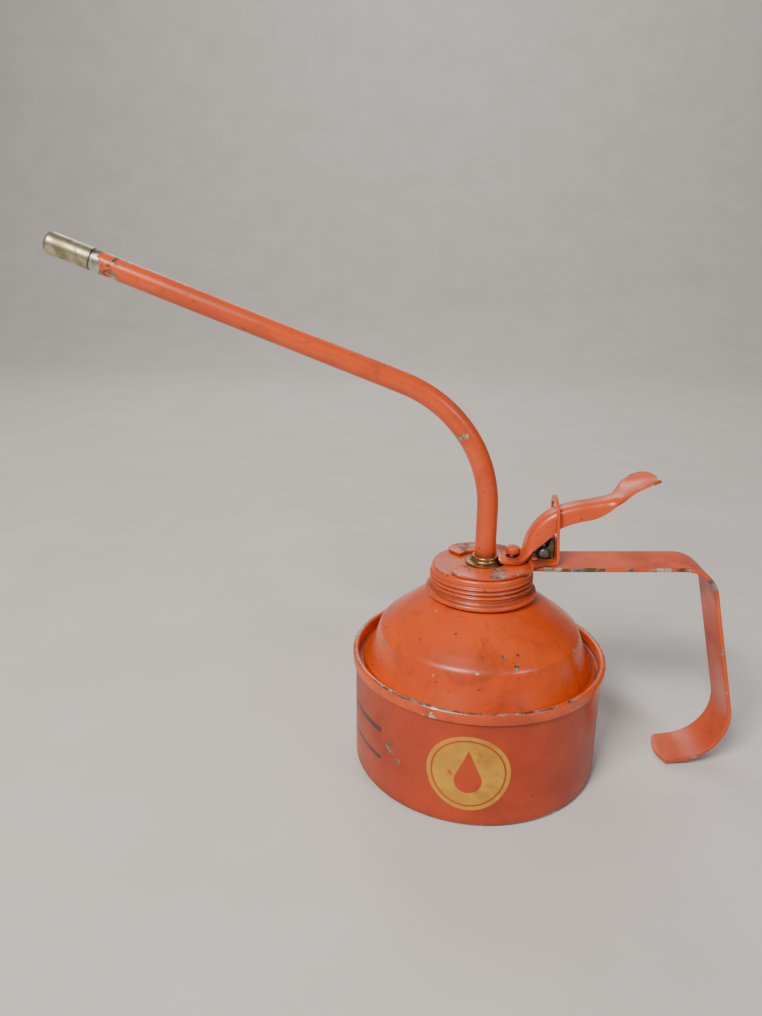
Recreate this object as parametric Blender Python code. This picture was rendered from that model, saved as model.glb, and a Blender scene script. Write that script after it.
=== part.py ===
"""Handy pump oiler: a small drum can with a screw-off pump head, a long bent spout, a thumb lever and a
strap handle.

Frame: origin on the can's axis at the base, +X towards the handle, spout towards -X, +Z up. Metres.
"""

import math

import bmesh
import bpy
from mathutils import Matrix, Vector

# Clearances
GAP = 0.0003                    # between pieces that touch or are joined
RUN = 0.0003                    # radial running clearance
SEAT_GAP = 0.00015              # ball to its conical seat

# Can body
DRUM_R = 0.0488                 # outer radius of the drum wall
DRUM_SHEET = 0.0004
DRUM_CORNER_R = 0.0018
SEAM_R = DRUM_R + 0.0012        # outer radius of the rolled seam
SEAM_TOP_Z = 0.04735
SEAM_HEIGHT = 0.00435
SEAM_ROUND = 0.0011
DOME_SHEET = 0.0005
CHANNEL_DEPTH = 0.00475         # from the seam's top to the channel's floor
CHANNEL_IN_R = DRUM_R - 0.0035  # where the shoulder wall meets the channel floor
CHANNEL_ROUND = 0.0018          # fillet from the shoulder wall to the channel floor
CHUCK_ROUND = 0.0008            # fillet from the channel floor to the seam
SHOULDER_R = DRUM_R - 0.0097
SHOULDER_Z = 0.0573
SHOULDER_ROUND = 0.0045
WALL_R = DRUM_R - 0.0072        # where the shoulder's wall starts to flare
WALL_Z = 0.0502
WALL_ROUND = 0.0200
CROWN_Z = 0.0664
CROWN_ROUND = 0.1200
NECK_HOLE_Z = 0.0722

# Neck and cap
NECK_IN_R = 0.0171
NECK_WALL = 0.0006
NECK_HOLE_R = NECK_IN_R + NECK_WALL + 0.0005
NECK_FLARE = 0.0035             # how far the neck spreads under the dome
NECK_TOP_Z = 0.0813
CROWN_SHARE = 0.46890           # of the way from the neck's hole to the shoulder
CROWN_R = NECK_HOLE_R + CROWN_SHARE * (SHOULDER_R - NECK_HOLE_R)
THREAD_PITCH = 0.00175
NECK_THREAD = 0.0007            # height of the neck's thread
CAP_TOP_Z = 0.0834
CAP_SHEET = 0.0008
CAP_WALL_IN_R = NECK_IN_R + 0.0016
CAP_R = CAP_WALL_IN_R + 0.0006
CAP_THREAD = 0.0007             # height of the cap's rolled thread
CAP_EDGE_R = 0.0015
BEAD_R = 0.00110                # radius of the curl round the cap's lower edge
BEAD_CENTRE_R = CAP_R + 0.00105
BEAD_Z = 0.07295
WASHER_THICK = 0.0007

# Spout
SPOUT_X = 0.0011
SPOUT_R = 0.0040
SPOUT_WALL = 0.0007
SPOUT_STRAIGHT_Z = 0.1050       # height at which the bend starts
SPOUT_BEND_R = 0.0507
SPOUT_BEND = math.radians(69.16)
SPOUT_RUN = 0.1338              # from the end of the bend to the tip
NOZZLE_LENGTH = 0.0170
NOZZLE_HOLE_R = 0.0010
NOZZLE_ROUND = 0.0016
COLLAR_FLANGE_R = 0.0076
COLLAR_R = 0.0051
COLLAR_FLANGE = 0.0008
COLLAR_HEIGHT = 0.0030

# Handle strap
STRAP_WIDTH = 0.0182
STRAP_SHEET = 0.0017
STRAP_START_X = 0.0178
STRAP_SAG_X = 0.0320            # where the top run starts to rise gently towards the knee
STRAP_SAG_R = 0.0600
STRAP_KNEE_X = 0.0860           # corner above the grip, at the strap's outer face
STRAP_KNEE_Z = 0.0867
STRAP_KNEE_R = 0.0139
STRAP_HEEL_X = 0.1052           # corner below the grip, at the strap's outer face
STRAP_HEEL_Z = 0.0060
STRAP_HEEL_R = 0.0207
STRAP_TIP_X = 0.0776
STRAP_TIP_Z = 0.00085
STRAP_TIP_BOW = 0.0024

# Widths of the thumb lever, which the bracket's slot also follows
LEVER_HALF = 0.0050
FOOT_HALF = 0.0064
PAD_HALF = 0.0082

# Lever bracket
BRACKET_SHEET = 0.0010
BRACKET_R = CAP_R - 0.0003
BRACKET_IN_R = 0.0097
ARM_END_ANGLE = math.radians(123)
ARM_ROOT_ANGLE = math.radians(45)
MOUTH = [(-0.0084, 0.0058), (-0.0118, 0.0098), (-0.0124, 0.0126)]
STEP_X = 0.0164                 # where the plate steps up over the strap
UPRIGHT_X = 0.0273
UPRIGHT_SHEET = 0.0011
UPRIGHT_HALF = LEVER_HALF + 0.0025
UPRIGHT_TOP_Z = 0.1110
UPRIGHT_LEAN = 0.0015           # how far the top leans towards the spout
SLOT_HALF = LEVER_HALF + 0.0005
SLOT_LOW_Z = 0.0943
SLOT_HIGH_Z = 0.1082
SLOT_ROUND = 0.0030

RIVET_X = 0.0194
RIVET_Y = 0.0046
RIVET_R = 0.0008
RIVET_HEAD_R = 0.0013
RIVET_HEAD = 0.0007

# Lever
PIVOT_X = 0.0230
PIVOT_Z = 0.0890
PIN_R = 0.0012
PIN_HEAD_R = 0.0019
PIN_HEAD = 0.0007
EYE_R = 0.0022
CHEEK_IN = 0.0024
CHEEK_SHEET = 0.0010
EAR_IN = 0.0011
EAR_SHEET = 0.0010
LEVER_SHEET = 0.0012
FOOT_X = 0.0069
FOOT_TOP_Z = 0.0865
YOKE_BACK = [(0.0206, 0.0972), (0.0194, 0.0966), (0.0176, 0.0916)]
YOKE_CHANNEL = [(0.0200, 0.0840), (0.0290, 0.0840), (0.0290, 0.0990), (0.0217, 0.0990), (0.0188, 0.0918)]

# Pump
PLUNGER_X = 0.0116
ROD_R = 0.0015
ROD_END_R = 0.0011
HEAD_R = 0.0027
HEAD_Z = 0.0878
HEAD_HEIGHT = 0.0025
BLOCK_Z = 0.0680
BLOCK_SPOUT_R = 0.0062
BLOCK_ROD_R = 0.0048
ROD_BORE_R = 0.0021
GLAND_BORE_R = 0.0030
GLAND_Z = 0.0745
SPIGOT = 0.0025                 # how far a spigot goes into the barrel
BARREL_R = 0.0047
BARREL_WALL = 0.0006
BARREL_LOW_Z = 0.0113
PORT_R = 0.0011
PORT_Z = 0.0702
PISTON_TOP_Z = 0.0471
PISTON_THICK = 0.0021
CUP_SHEET = 0.0008
NUT_THICK = 0.0020
NUT_FLATS = 0.0050
BALL_R = 0.0019
SEAT_HOLE_R = 0.0013
CHAMBER_R = 0.0026
OUTLET_SEAT_Z = 0.0720
INLET_SEAT_Z = 0.0118
INLET_LIFT = 0.0011
INLET_CHAMBER_R = 0.0024
INLET_LIP = 0.0008              # the lip over the inlet ball
SPOUT_SOCKET_Z = 0.0794
SPRING_SEAT = 0.0007            # room under the spout for the outlet spring's top coil
VALVE_FLANGE = 0.0015
STRAINER_Z = 0.0035
STRAINER_WALL = 0.0005
STRAINER_SLOT_HALF = 0.0006
STRAINER_SLOT_LOW = 0.0010      # above the strainer's floor
STRAINER_SLOT_HIGH = 0.0030
SPRING_COIL_R = 0.0024
SPRING_WIRE_R = 0.00035
SPRING_TURNS = 9
OUTLET_WIRE_R = 0.00025
OUTLET_TURNS = 3

# Facets
BIG = 40
MEDIUM = 32
SMALL = 16
TINY = 12


# ---------------------------------------------------------------- outlines

def arc(centre, radius, start, end, steps):
    """Points of an arc round centre, from the angle start to the angle end, in degrees."""
    angles = [math.radians(start + (end - start) * i / steps) for i in range(steps + 1)]
    return [(centre[0] + radius * math.cos(a), centre[1] + radius * math.sin(a)) for a in angles]


def rounded(corners, step=15):
    """A path through corners (x, y) or (x, y, radius), with each radius as an arc of about step degrees."""
    path = [Vector(corners[0][:2])]
    for before, corner, after in zip(corners, corners[1:], corners[2:]):
        here = Vector(corner[:2])
        radius = corner[2] if len(corner) > 2 else 0
        way_in = (here - Vector(before[:2])).normalized()
        way_out = (Vector(after[:2]) - here).normalized()
        turn = math.atan2(way_in.x * way_out.y - way_in.y * way_out.x, way_in.dot(way_out))
        if radius == 0 or abs(turn) < 1e-6:
            path.append(here)
            continue
        reach = radius * math.tan(abs(turn) / 2)
        side = math.copysign(1, turn)
        centre = here - way_in * reach + Vector((-way_in.y, way_in.x)) * radius * side
        spoke = here - way_in * reach - centre
        steps = max(2, round(abs(math.degrees(turn)) / step))
        path += [centre + Matrix.Rotation(turn * i / steps, 2) @ spoke for i in range(steps + 1)]
    path.append(Vector(corners[-1][:2]))
    return [tuple(point) for point in path]


def offset(path, distance):
    """The path moved to its left by distance, with mitred corners."""
    points = [Vector(p) for p in path]
    moved = []
    for i, point in enumerate(points):
        ways = []
        if i > 0:
            ways.append((point - points[i - 1]).normalized())
        if i < len(points) - 1:
            ways.append((points[i + 1] - point).normalized())
        sides = [Vector((-way.y, way.x)) for way in ways]
        middle = sum(sides, Vector((0, 0))).normalized()
        moved.append(tuple(point + middle * distance / middle.dot(sides[0])))
    return moved


# ---------------------------------------------------------------- solids

def material(name, colour, roughness, metallic):
    made = bpy.data.materials.new(name)
    made.use_nodes = True
    shader = made.node_tree.nodes["Principled BSDF"]
    shader.inputs["Base Color"].default_value = (*colour, 1)
    shader.inputs["Roughness"].default_value = roughness
    shader.inputs["Metallic"].default_value = metallic
    return made


def add(name, mesh_work, paint, pivot=None, closed=True):
    """Makes an object from a bmesh in world coordinates, with its origin on the pivot that it moves with."""
    if closed:
        bmesh.ops.recalc_face_normals(mesh_work, faces=mesh_work.faces)
    mesh = bpy.data.meshes.new(name)
    mesh_work.to_mesh(mesh)
    mesh_work.free()
    made = bpy.data.objects.new(name, mesh)
    bpy.context.scene.collection.objects.link(made)
    if paint:
        mesh.materials.append(paint)
    if pivot:
        mesh.transform(Matrix.Translation(-pivot.location))
        made.parent = pivot
    mesh.shade_smooth()
    mesh.set_sharp_from_angle(angle=math.radians(35))
    return made


def empty(name, place):
    made = bpy.data.objects.new(name, None)
    made.location = place
    made.empty_display_size = 0.01
    bpy.context.scene.collection.objects.link(made)
    return made


def turned(outline, segments, centre_x=0.0):
    """A bmesh turned round the vertical line at centre_x.

    The outline is a ring, or starts and ends on that line.
    """
    work = bmesh.new()
    points = [work.verts.new((centre_x + r, 0, z)) for r, z in outline]
    edges = [work.edges.new(pair) for pair in zip(points, points[1:])]
    if outline[0][0] > 0 or outline[-1][0] > 0:
        edges.append(work.edges.new((points[-1], points[0])))
    bmesh.ops.spin(
        work,
        geom=points + edges,
        cent=(centre_x, 0, 0),
        axis=(0, 0, 1),
        angle=2 * math.pi,
        steps=segments,
        use_merge=True,
    )
    bmesh.ops.remove_doubles(work, verts=work.verts, dist=1e-6)
    return work


def prism(outline, low, high, axis="Z"):
    """A bmesh of a flat outline, extruded along axis from low to high."""
    place = {
        "X": lambda a, b, h: (h, a, b),
        "Y": lambda a, b, h: (a, h, b),
        "Z": lambda a, b, h: (a, b, h),
    }[axis]
    work = bmesh.new()
    face = work.faces.new([work.verts.new(place(a, b, low)) for a, b in outline])
    grown = bmesh.ops.extrude_face_region(work, geom=[face])["geom"]
    shift = Vector(place(0, 0, high - low))
    bmesh.ops.translate(work, vec=shift, verts=[v for v in grown if isinstance(v, bmesh.types.BMVert)])
    return work


def swept(rings, closed_ends=True):
    """A bmesh over rings of points, each ring joined to the next, with flat ends."""
    work = bmesh.new()
    rows = [[work.verts.new(point) for point in ring] for ring in rings]
    for low, high in zip(rows, rows[1:]):
        for i in range(len(low)):
            j = (i + 1) % len(low)
            work.faces.new((low[i], low[j], high[j], high[i]))
    if closed_ends:
        work.faces.new(rows[0])
        work.faces.new(rows[-1])
    return work


def pipe(spine, outer, inner, segments):
    """A bmesh of a pipe along a spine of (place, direction) in the XZ plane, with radii for each station."""
    def ring(place, way, radius):
        across = Vector((0, 1, 0))
        up = way.cross(across)
        angles = [2 * math.pi * i / segments for i in range(segments)]
        return [place + (across * math.cos(a) + up * math.sin(a)) * radius for a in angles]

    outside = [ring(place, way, r) for (place, way), r in zip(spine, outer)]
    inside = [ring(place, way, r) for (place, way), r in zip(spine, inner)]
    work = swept(outside + inside[::-1] + [outside[0]], closed_ends=False)
    bmesh.ops.remove_doubles(work, verts=work.verts, dist=1e-7)
    return work


def coil(turns, low, high, low_r, high_r, wire_r, centre_x, per_turn=8, sides=4):
    """A bmesh of a coil spring that winds up from low to high round the vertical line at centre_x."""
    steps = turns * per_turn
    rings = []
    for i in range(steps + 1):
        share = i / steps
        angle = 2 * math.pi * turns * share
        radius = low_r + (high_r - low_r) * share
        out = Vector((math.cos(angle), math.sin(angle), 0))
        centre = Vector((centre_x, 0, low + (high - low) * share)) + out * radius
        spokes = [2 * math.pi * k / sides for k in range(sides)]
        up = Vector((0, 0, 1))
        rings.append([centre + (out * math.cos(a) + up * math.sin(a)) * wire_r for a in spokes])
    return swept(rings)


def sheet(name, rows, thickness, paint, pivot):
    """A pressed sheet: rows of points give its outer skin, and the metal lies under it."""
    work = bmesh.new()
    grid = [[work.verts.new(point) for point in row] for row in rows]
    for low, high in zip(grid, grid[1:]):
        for i in range(len(low) - 1):
            work.faces.new((low[i], high[i], high[i + 1], low[i + 1]))
    made = add(name, work, paint, pivot, closed=False)
    solid = made.modifiers.new("thickness", "SOLIDIFY")
    solid.thickness = thickness
    solid.offset = -1
    solid.use_even_offset = True
    return made


def shape_with(target, operation, name, work, pivot=None):
    """Cuts a helper solid out of target, or joins it on. The helper stays in the file, hidden."""
    helper = add(name, work, None, pivot)
    helper.hide_render = True
    helper.display_type = "WIRE"
    step = target.modifiers.new(name, "BOOLEAN")
    step.operation = operation
    step.solver = "EXACT"
    step.object = helper


def cylinder(radius, low, high, centre_x=0.0, segments=SMALL):
    return turned([(0, low), (radius, low), (radius, high), (0, high)], segments, centre_x)


def thread(work, low, high, inner_r, height, pitch):
    """Raises a rounded helical thread on the outer wall between low and high, fading out at both ends."""
    for vert in work.verts:
        radius = math.hypot(vert.co.x, vert.co.y)
        if radius < inner_r or not low < vert.co.z < high:
            continue
        turn = math.atan2(vert.co.y, vert.co.x) / (2 * math.pi)
        wave = 0.5 - 0.5 * math.cos(2 * math.pi * (vert.co.z / pitch - turn))
        fade = min(1, (vert.co.z - low) / pitch, (high - vert.co.z) / pitch)
        grown = 1 + height * wave * fade / radius
        vert.co.x *= grown
        vert.co.y *= grown


def rows_between(radius, low, high, spacing):
    """Wall points from low to high, close enough to carry a thread."""
    count = round((high - low) / spacing)
    return [(radius, low + (high - low) * i / count) for i in range(count + 1)]


# ---------------------------------------------------------------- can

def make_drum(paint):
    """The drawn cup: flat base, rounded corner and a wall that ends inside the rolled seam."""
    wall_top = SEAM_TOP_Z - SEAM_ROUND - 2 * GAP
    outside = rounded([(0, 0), (DRUM_R, 0, DRUM_CORNER_R), (DRUM_R, wall_top)], 22)
    return add("drum_shell", turned(outside + offset(outside, DRUM_SHEET)[::-1], BIG), paint)


def make_dome(paint):
    """The shoulder pressing: crown, wall, channel and the seam that is rolled over the drum's edge."""
    chuck_r = DRUM_R - DRUM_SHEET - GAP - DOME_SHEET
    floor_z = SEAM_TOP_Z - CHANNEL_DEPTH
    hook_r = DRUM_R + GAP
    seam_low_z = SEAM_TOP_Z - SEAM_HEIGHT
    hook_top_z = SEAM_TOP_Z - SEAM_ROUND + GAP / 2
    body = rounded([
        (NECK_HOLE_R, NECK_HOLE_Z),
        (CROWN_R, CROWN_Z, CROWN_ROUND),
        (SHOULDER_R, SHOULDER_Z, SHOULDER_ROUND),
        (WALL_R, WALL_Z, WALL_ROUND),
        (CHANNEL_IN_R, floor_z, CHANNEL_ROUND),
        (chuck_r, floor_z, CHUCK_ROUND),
        (chuck_r, SEAM_TOP_Z - SEAM_ROUND),
    ], 24)
    seam = rounded([
        (chuck_r, SEAM_TOP_Z - SEAM_ROUND),
        (chuck_r, SEAM_TOP_Z, SEAM_ROUND),
        (SEAM_R, SEAM_TOP_Z, SEAM_ROUND),
        (SEAM_R, seam_low_z),
        (hook_r, seam_low_z),
        (hook_r, hook_top_z),
        (chuck_r + DOME_SHEET, hook_top_z),
    ], 45)
    under = offset(body, -DOME_SHEET)[::-1][1:]
    return add("shoulder_dome", turned(body + seam[1:] + under, BIG), paint)


def make_neck(paint):
    """The threaded neck, flared out under the dome."""
    root = NECK_IN_R + NECK_WALL
    slope = (NECK_HOLE_Z - CROWN_Z) / (CROWN_R - NECK_HOLE_R)
    under_dome_z = NECK_HOLE_Z - DOME_SHEET - GAP - (root + DRUM_SHEET - NECK_HOLE_R) * slope
    low_thread_z = NECK_HOLE_Z + NECK_WALL
    walls = rows_between(root, low_thread_z, NECK_TOP_Z, THREAD_PITCH / 4)
    outline = walls + [
        (NECK_IN_R, NECK_TOP_Z),
        (NECK_IN_R, under_dome_z - NECK_WALL),
        (root + NECK_FLARE, under_dome_z - NECK_WALL - NECK_FLARE * slope),
        (root + NECK_FLARE, under_dome_z - NECK_FLARE * slope),
        (root, under_dome_z),
    ]
    work = turned(outline, MEDIUM)
    thread(work, low_thread_z, NECK_TOP_Z, root - GAP, NECK_THREAD, THREAD_PITCH)
    return add("threaded_neck", work, paint)


def make_washer(paint, pivot):
    """The sealing ring between the neck's lip and the cap."""
    low = NECK_TOP_Z + GAP
    outer = CAP_WALL_IN_R - GAP
    inner = NECK_IN_R + GAP / 4
    ring = [(inner, low), (outer, low), (outer, low + WASHER_THICK), (inner, low + WASHER_THICK)]
    return add("sealing_washer", turned(ring, MEDIUM), paint, pivot)


# ---------------------------------------------------------------- cap, bracket and handle

def make_cap(paint, pivot):
    """The screw cap: a flat top, a rolled thread and a curled lower edge."""
    thread_low = BEAD_Z + 1.7 * BEAD_R
    thread_high = CAP_TOP_Z - CAP_EDGE_R
    walls = rows_between(CAP_R, thread_low, thread_high, THREAD_PITCH / 5)
    edge = arc((CAP_R - CAP_EDGE_R, CAP_TOP_Z - CAP_EDGE_R), CAP_EDGE_R, 90, 0, 3)
    bead = arc((BEAD_CENTRE_R, BEAD_Z), BEAD_R, 110, -110, 6)
    under_top = CAP_TOP_Z - CAP_SHEET
    inside = [(CAP_WALL_IN_R, BEAD_Z - BEAD_R / 2), (CAP_WALL_IN_R, under_top), (0, under_top)]
    work = turned([(0, CAP_TOP_Z)] + edge + walls[::-1][1:] + bead + inside, MEDIUM)
    thread(work, thread_low, thread_high, CAP_R - GAP / 2, CAP_THREAD, THREAD_PITCH)
    cap = add("screw_cap", work, paint, pivot)
    low, high = CAP_TOP_Z - 3 * CAP_SHEET, CAP_TOP_Z + CAP_SHEET
    shape_with(cap, "DIFFERENCE", "cap_spout_hole", cylinder(SPOUT_R + GAP, low, high, SPOUT_X), pivot)
    shape_with(cap, "DIFFERENCE", "cap_rod_hole", cylinder(ROD_R + RUN, low, high, PLUNGER_X), pivot)
    return cap


ARM_ROOT_X = BRACKET_R * math.cos(ARM_ROOT_ANGLE)
ARM_ROOT_Y = BRACKET_R * math.sin(ARM_ROOT_ANGLE)
BRACKET_TAPER = [
    (ARM_ROOT_X, ARM_ROOT_Y),
    (0.0168, 0.0118),
    (0.0200, 0.0098),
    (0.0236, 0.0082),
    (UPRIGHT_X, UPRIGHT_HALF),
]


def bracket_half(x):
    """Half the bracket's width at x, between the arms and the upright."""
    for (x0, y0), (x1, y1) in zip(BRACKET_TAPER, BRACKET_TAPER[1:]):
        if x <= x1:
            return y0 + (y1 - y0) * (x - x0) / (x1 - x0)
    return UPRIGHT_HALF


def bracket_outline(from_x, to_x, inset=0.0):
    """The tapering part of the bracket from above, as its left edge from one station along X to another."""
    between = [x for x, _ in BRACKET_TAPER if from_x < x < to_x]
    return [(x, bracket_half(x) - inset) for x in [from_x] + between + [to_x]]


def mirrored(half):
    """A closed outline from its left half."""
    return half + [(x, -y) for x, y in half[::-1] if y > 1e-9]


def make_bracket(paint, pivot):
    """One pressing: a horseshoe on the cap, a step over the strap, a slotted upright and two cheeks."""
    low = CAP_TOP_Z + GAP
    high = low + STRAP_SHEET + GAP
    step_end = STRAP_START_X - GAP
    arms = arc((0, 0), BRACKET_R, math.degrees(ARM_END_ANGLE), math.degrees(ARM_ROOT_ANGLE), 10)
    inner = arc((0, 0), BRACKET_IN_R, 0, 138, 10)
    outline = mirrored(inner + MOUTH + arms + bracket_outline(ARM_ROOT_X, step_end)[1:])
    bracket = add("lever_bracket", prism(outline, low, low + BRACKET_SHEET), paint, pivot)

    blend = GAP / 3
    riser = mirrored(bracket_outline(STEP_X, step_end - blend, blend))
    shape_with(bracket, "UNION", "bracket_step", prism(riser, low + blend, high + BRACKET_SHEET), pivot)
    tread = mirrored(bracket_outline(STEP_X + BRACKET_SHEET / 2, UPRIGHT_X + UPRIGHT_SHEET / 2, 2 * blend))
    shape_with(bracket, "UNION", "bracket_tread", prism(tread, high, high + BRACKET_SHEET - blend), pivot)

    foot_z = high + blend
    crown = rounded([
        (UPRIGHT_HALF, foot_z),
        (UPRIGHT_HALF, UPRIGHT_TOP_Z, UPRIGHT_HALF * 0.96),
        (-UPRIGHT_HALF, UPRIGHT_TOP_Z, UPRIGHT_HALF * 0.96),
        (-UPRIGHT_HALF, foot_z),
    ], 18)
    upright = prism(crown, UPRIGHT_X, UPRIGHT_X + UPRIGHT_SHEET, axis="X")
    lean = UPRIGHT_LEAN / (UPRIGHT_TOP_Z - foot_z)
    for vert in upright.verts:
        vert.co.x -= lean * (vert.co.z - foot_z)
    shape_with(bracket, "UNION", "bracket_upright", upright, pivot)
    for name, side in (("bracket_cheek_front", -1), ("bracket_cheek_back", 1)):
        shape = [(PIVOT_X - EYE_R, high + GAP)] + [(PIVOT_X + EYE_R, high + GAP)]
        shape += arc((PIVOT_X, PIVOT_Z), EYE_R, 0, 180, 8)
        near, far = sorted((side * CHEEK_IN, side * (CHEEK_IN + CHEEK_SHEET)))
        shape_with(bracket, "UNION", name, prism(shape, near, far, axis="Y"), pivot)

    window = rounded([
        (0, SLOT_LOW_Z),
        (SLOT_HALF, SLOT_LOW_Z, SLOT_ROUND / 2),
        (SLOT_HALF, SLOT_HIGH_Z, SLOT_ROUND),
        (-SLOT_HALF, SLOT_HIGH_Z, SLOT_ROUND),
        (-SLOT_HALF, SLOT_LOW_Z, SLOT_ROUND / 2),
        (0, SLOT_LOW_Z),
    ], 22)[:-1]
    reach = 3 * UPRIGHT_SHEET
    slot = prism(window, UPRIGHT_X - reach, UPRIGHT_X + reach, axis="X")
    shape_with(bracket, "DIFFERENCE", "bracket_slot", slot, pivot)
    pin_hole = prism(arc((PIVOT_X, PIVOT_Z), PIN_R + RUN, 0, 330, 11), -EYE_R * 2, EYE_R * 2, axis="Y")
    shape_with(bracket, "DIFFERENCE", "bracket_pin_hole", pin_hole, pivot)
    rod_hole = cylinder(ROD_R + 2 * RUN, low - GAP, low + 2 * BRACKET_SHEET, PLUNGER_X)
    shape_with(bracket, "DIFFERENCE", "bracket_rod_hole", rod_hole, pivot)
    return bracket


def make_rivets(bracket, strap, paint, pivot):
    """Two rivets that hold the strap's tongue to the bracket, with their tails flush under the strap."""
    low = CAP_TOP_Z + GAP
    top = low + STRAP_SHEET + GAP + BRACKET_SHEET
    for name, side in (("front", -1), ("back", 1)):
        head = [(0, top + GAP + RIVET_HEAD), (RIVET_HEAD_R * 0.6, top + GAP + RIVET_HEAD)]
        head += [(RIVET_HEAD_R, top + GAP + RIVET_HEAD / 3), (RIVET_HEAD_R, top + GAP)]
        shank = [(RIVET_R, top + GAP), (RIVET_R, low), (0, low)]
        work = turned(head + shank, TINY, RIVET_X)
        bmesh.ops.translate(work, vec=(0, side * RIVET_Y, 0), verts=work.verts)
        add("handle_rivet_" + name, work, paint, pivot)
        for target in (bracket, strap):
            hole = cylinder(RIVET_R + GAP, low - GAP, top + 2 * GAP, RIVET_X, TINY)
            bmesh.ops.translate(hole, vec=(0, side * RIVET_Y, 0), verts=hole.verts)
            shape_with(target, "DIFFERENCE", f"{target.name}_rivet_hole_{name}", hole, pivot)


def make_strap(paint, pivot):
    """The handle: a flat strap bent down behind the can, with a bowed tip."""
    top = CAP_TOP_Z + GAP + STRAP_SHEET
    path = rounded([
        (STRAP_START_X, top),
        (STRAP_SAG_X, top, STRAP_SAG_R),
        (STRAP_KNEE_X, STRAP_KNEE_Z, STRAP_KNEE_R),
        (STRAP_HEEL_X, STRAP_HEEL_Z, STRAP_HEEL_R),
        (STRAP_TIP_X, STRAP_TIP_Z),
    ], 13)
    half = STRAP_WIDTH / 2
    way = (Vector(path[-1]) - Vector(path[-2])).normalized()
    columns = [half * share for share in (-1, -0.75, -0.4, 0, 0.4, 0.75, 1)]
    rows = [[(x, y, z) for y in columns] for x, z in path[:-1]]
    reach = [STRAP_TIP_BOW * (1 - (y / half) ** 2) for y in columns]
    rows.append([(path[-1][0] + way.x * r, y, path[-1][1] + way.y * r) for y, r in zip(columns, reach)])
    return sheet("handle_strap", rows, STRAP_SHEET, paint, pivot)


# ---------------------------------------------------------------- spout

def spout_spine(start, end, steps=10):
    """Stations (place, direction) along the spout's middle, between two lengths measured from the bend's end.

    A start of None begins at the socket in the pump head.
    """
    stations = []
    bend_end_x = SPOUT_X - SPOUT_BEND_R * (1 - math.cos(SPOUT_BEND))
    bend_end_z = SPOUT_STRAIGHT_Z + SPOUT_BEND_R * math.sin(SPOUT_BEND)
    way_out = Vector((-math.sin(SPOUT_BEND), 0, math.cos(SPOUT_BEND)))
    bend_end = Vector((bend_end_x, 0, bend_end_z))
    if start is None:
        stations.append((Vector((SPOUT_X, 0, SPOUT_SOCKET_Z + SPRING_SEAT)), Vector((0, 0, 1))))
        for i in range(steps + 1):
            angle = SPOUT_BEND * i / steps
            x = SPOUT_X - SPOUT_BEND_R * (1 - math.cos(angle))
            z = SPOUT_STRAIGHT_Z + SPOUT_BEND_R * math.sin(angle)
            stations.append((Vector((x, 0, z)), Vector((-math.sin(angle), 0, math.cos(angle)))))
    else:
        stations.append((bend_end + way_out * start, way_out))
    stations.append((bend_end + way_out * end, way_out))
    return stations


def make_spout(paint, brass, pivot):
    """The spout tube, the collar at its foot and the nozzle at its tip."""
    tube_end = SPOUT_RUN - NOZZLE_LENGTH
    spine = spout_spine(None, tube_end)
    bore = SPOUT_R - SPOUT_WALL
    tube = pipe(spine, [SPOUT_R] * len(spine), [bore] * len(spine), SMALL)
    add("spout_tube", tube, paint, pivot)

    spigot = bore - GAP
    lengths = [tube_end - SPIGOT, tube_end + GAP / 2, tube_end + GAP, SPOUT_RUN - NOZZLE_ROUND]
    lengths += [SPOUT_RUN - NOZZLE_ROUND * 0.35, SPOUT_RUN]
    outer = [spigot, spigot, SPOUT_R, SPOUT_R, SPOUT_R - NOZZLE_ROUND * 0.35, SPOUT_R - NOZZLE_ROUND]
    inner = [spigot - SPOUT_WALL] * 3 + [spigot - SPOUT_WALL, NOZZLE_HOLE_R, NOZZLE_HOLE_R]
    stations = [spout_spine(length, length)[0] for length in lengths]
    add("spout_nozzle", pipe(stations, outer, inner, SMALL), brass, pivot)

    foot = CAP_TOP_Z + GAP
    hole = SPOUT_R + GAP
    collar = [(hole, foot), (COLLAR_FLANGE_R, foot), (COLLAR_FLANGE_R, foot + COLLAR_FLANGE)]
    collar += [(COLLAR_R + COLLAR_FLANGE, foot + COLLAR_FLANGE), (COLLAR_R, foot + 2 * COLLAR_FLANGE)]
    collar += [(COLLAR_R, foot + COLLAR_HEIGHT - COLLAR_FLANGE / 2)]
    collar += [(COLLAR_R - COLLAR_FLANGE / 2, foot + COLLAR_HEIGHT), (hole, foot + COLLAR_HEIGHT)]
    add("spout_collar", turned(collar, SMALL, SPOUT_X), brass, pivot)


# ---------------------------------------------------------------- lever

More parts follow.
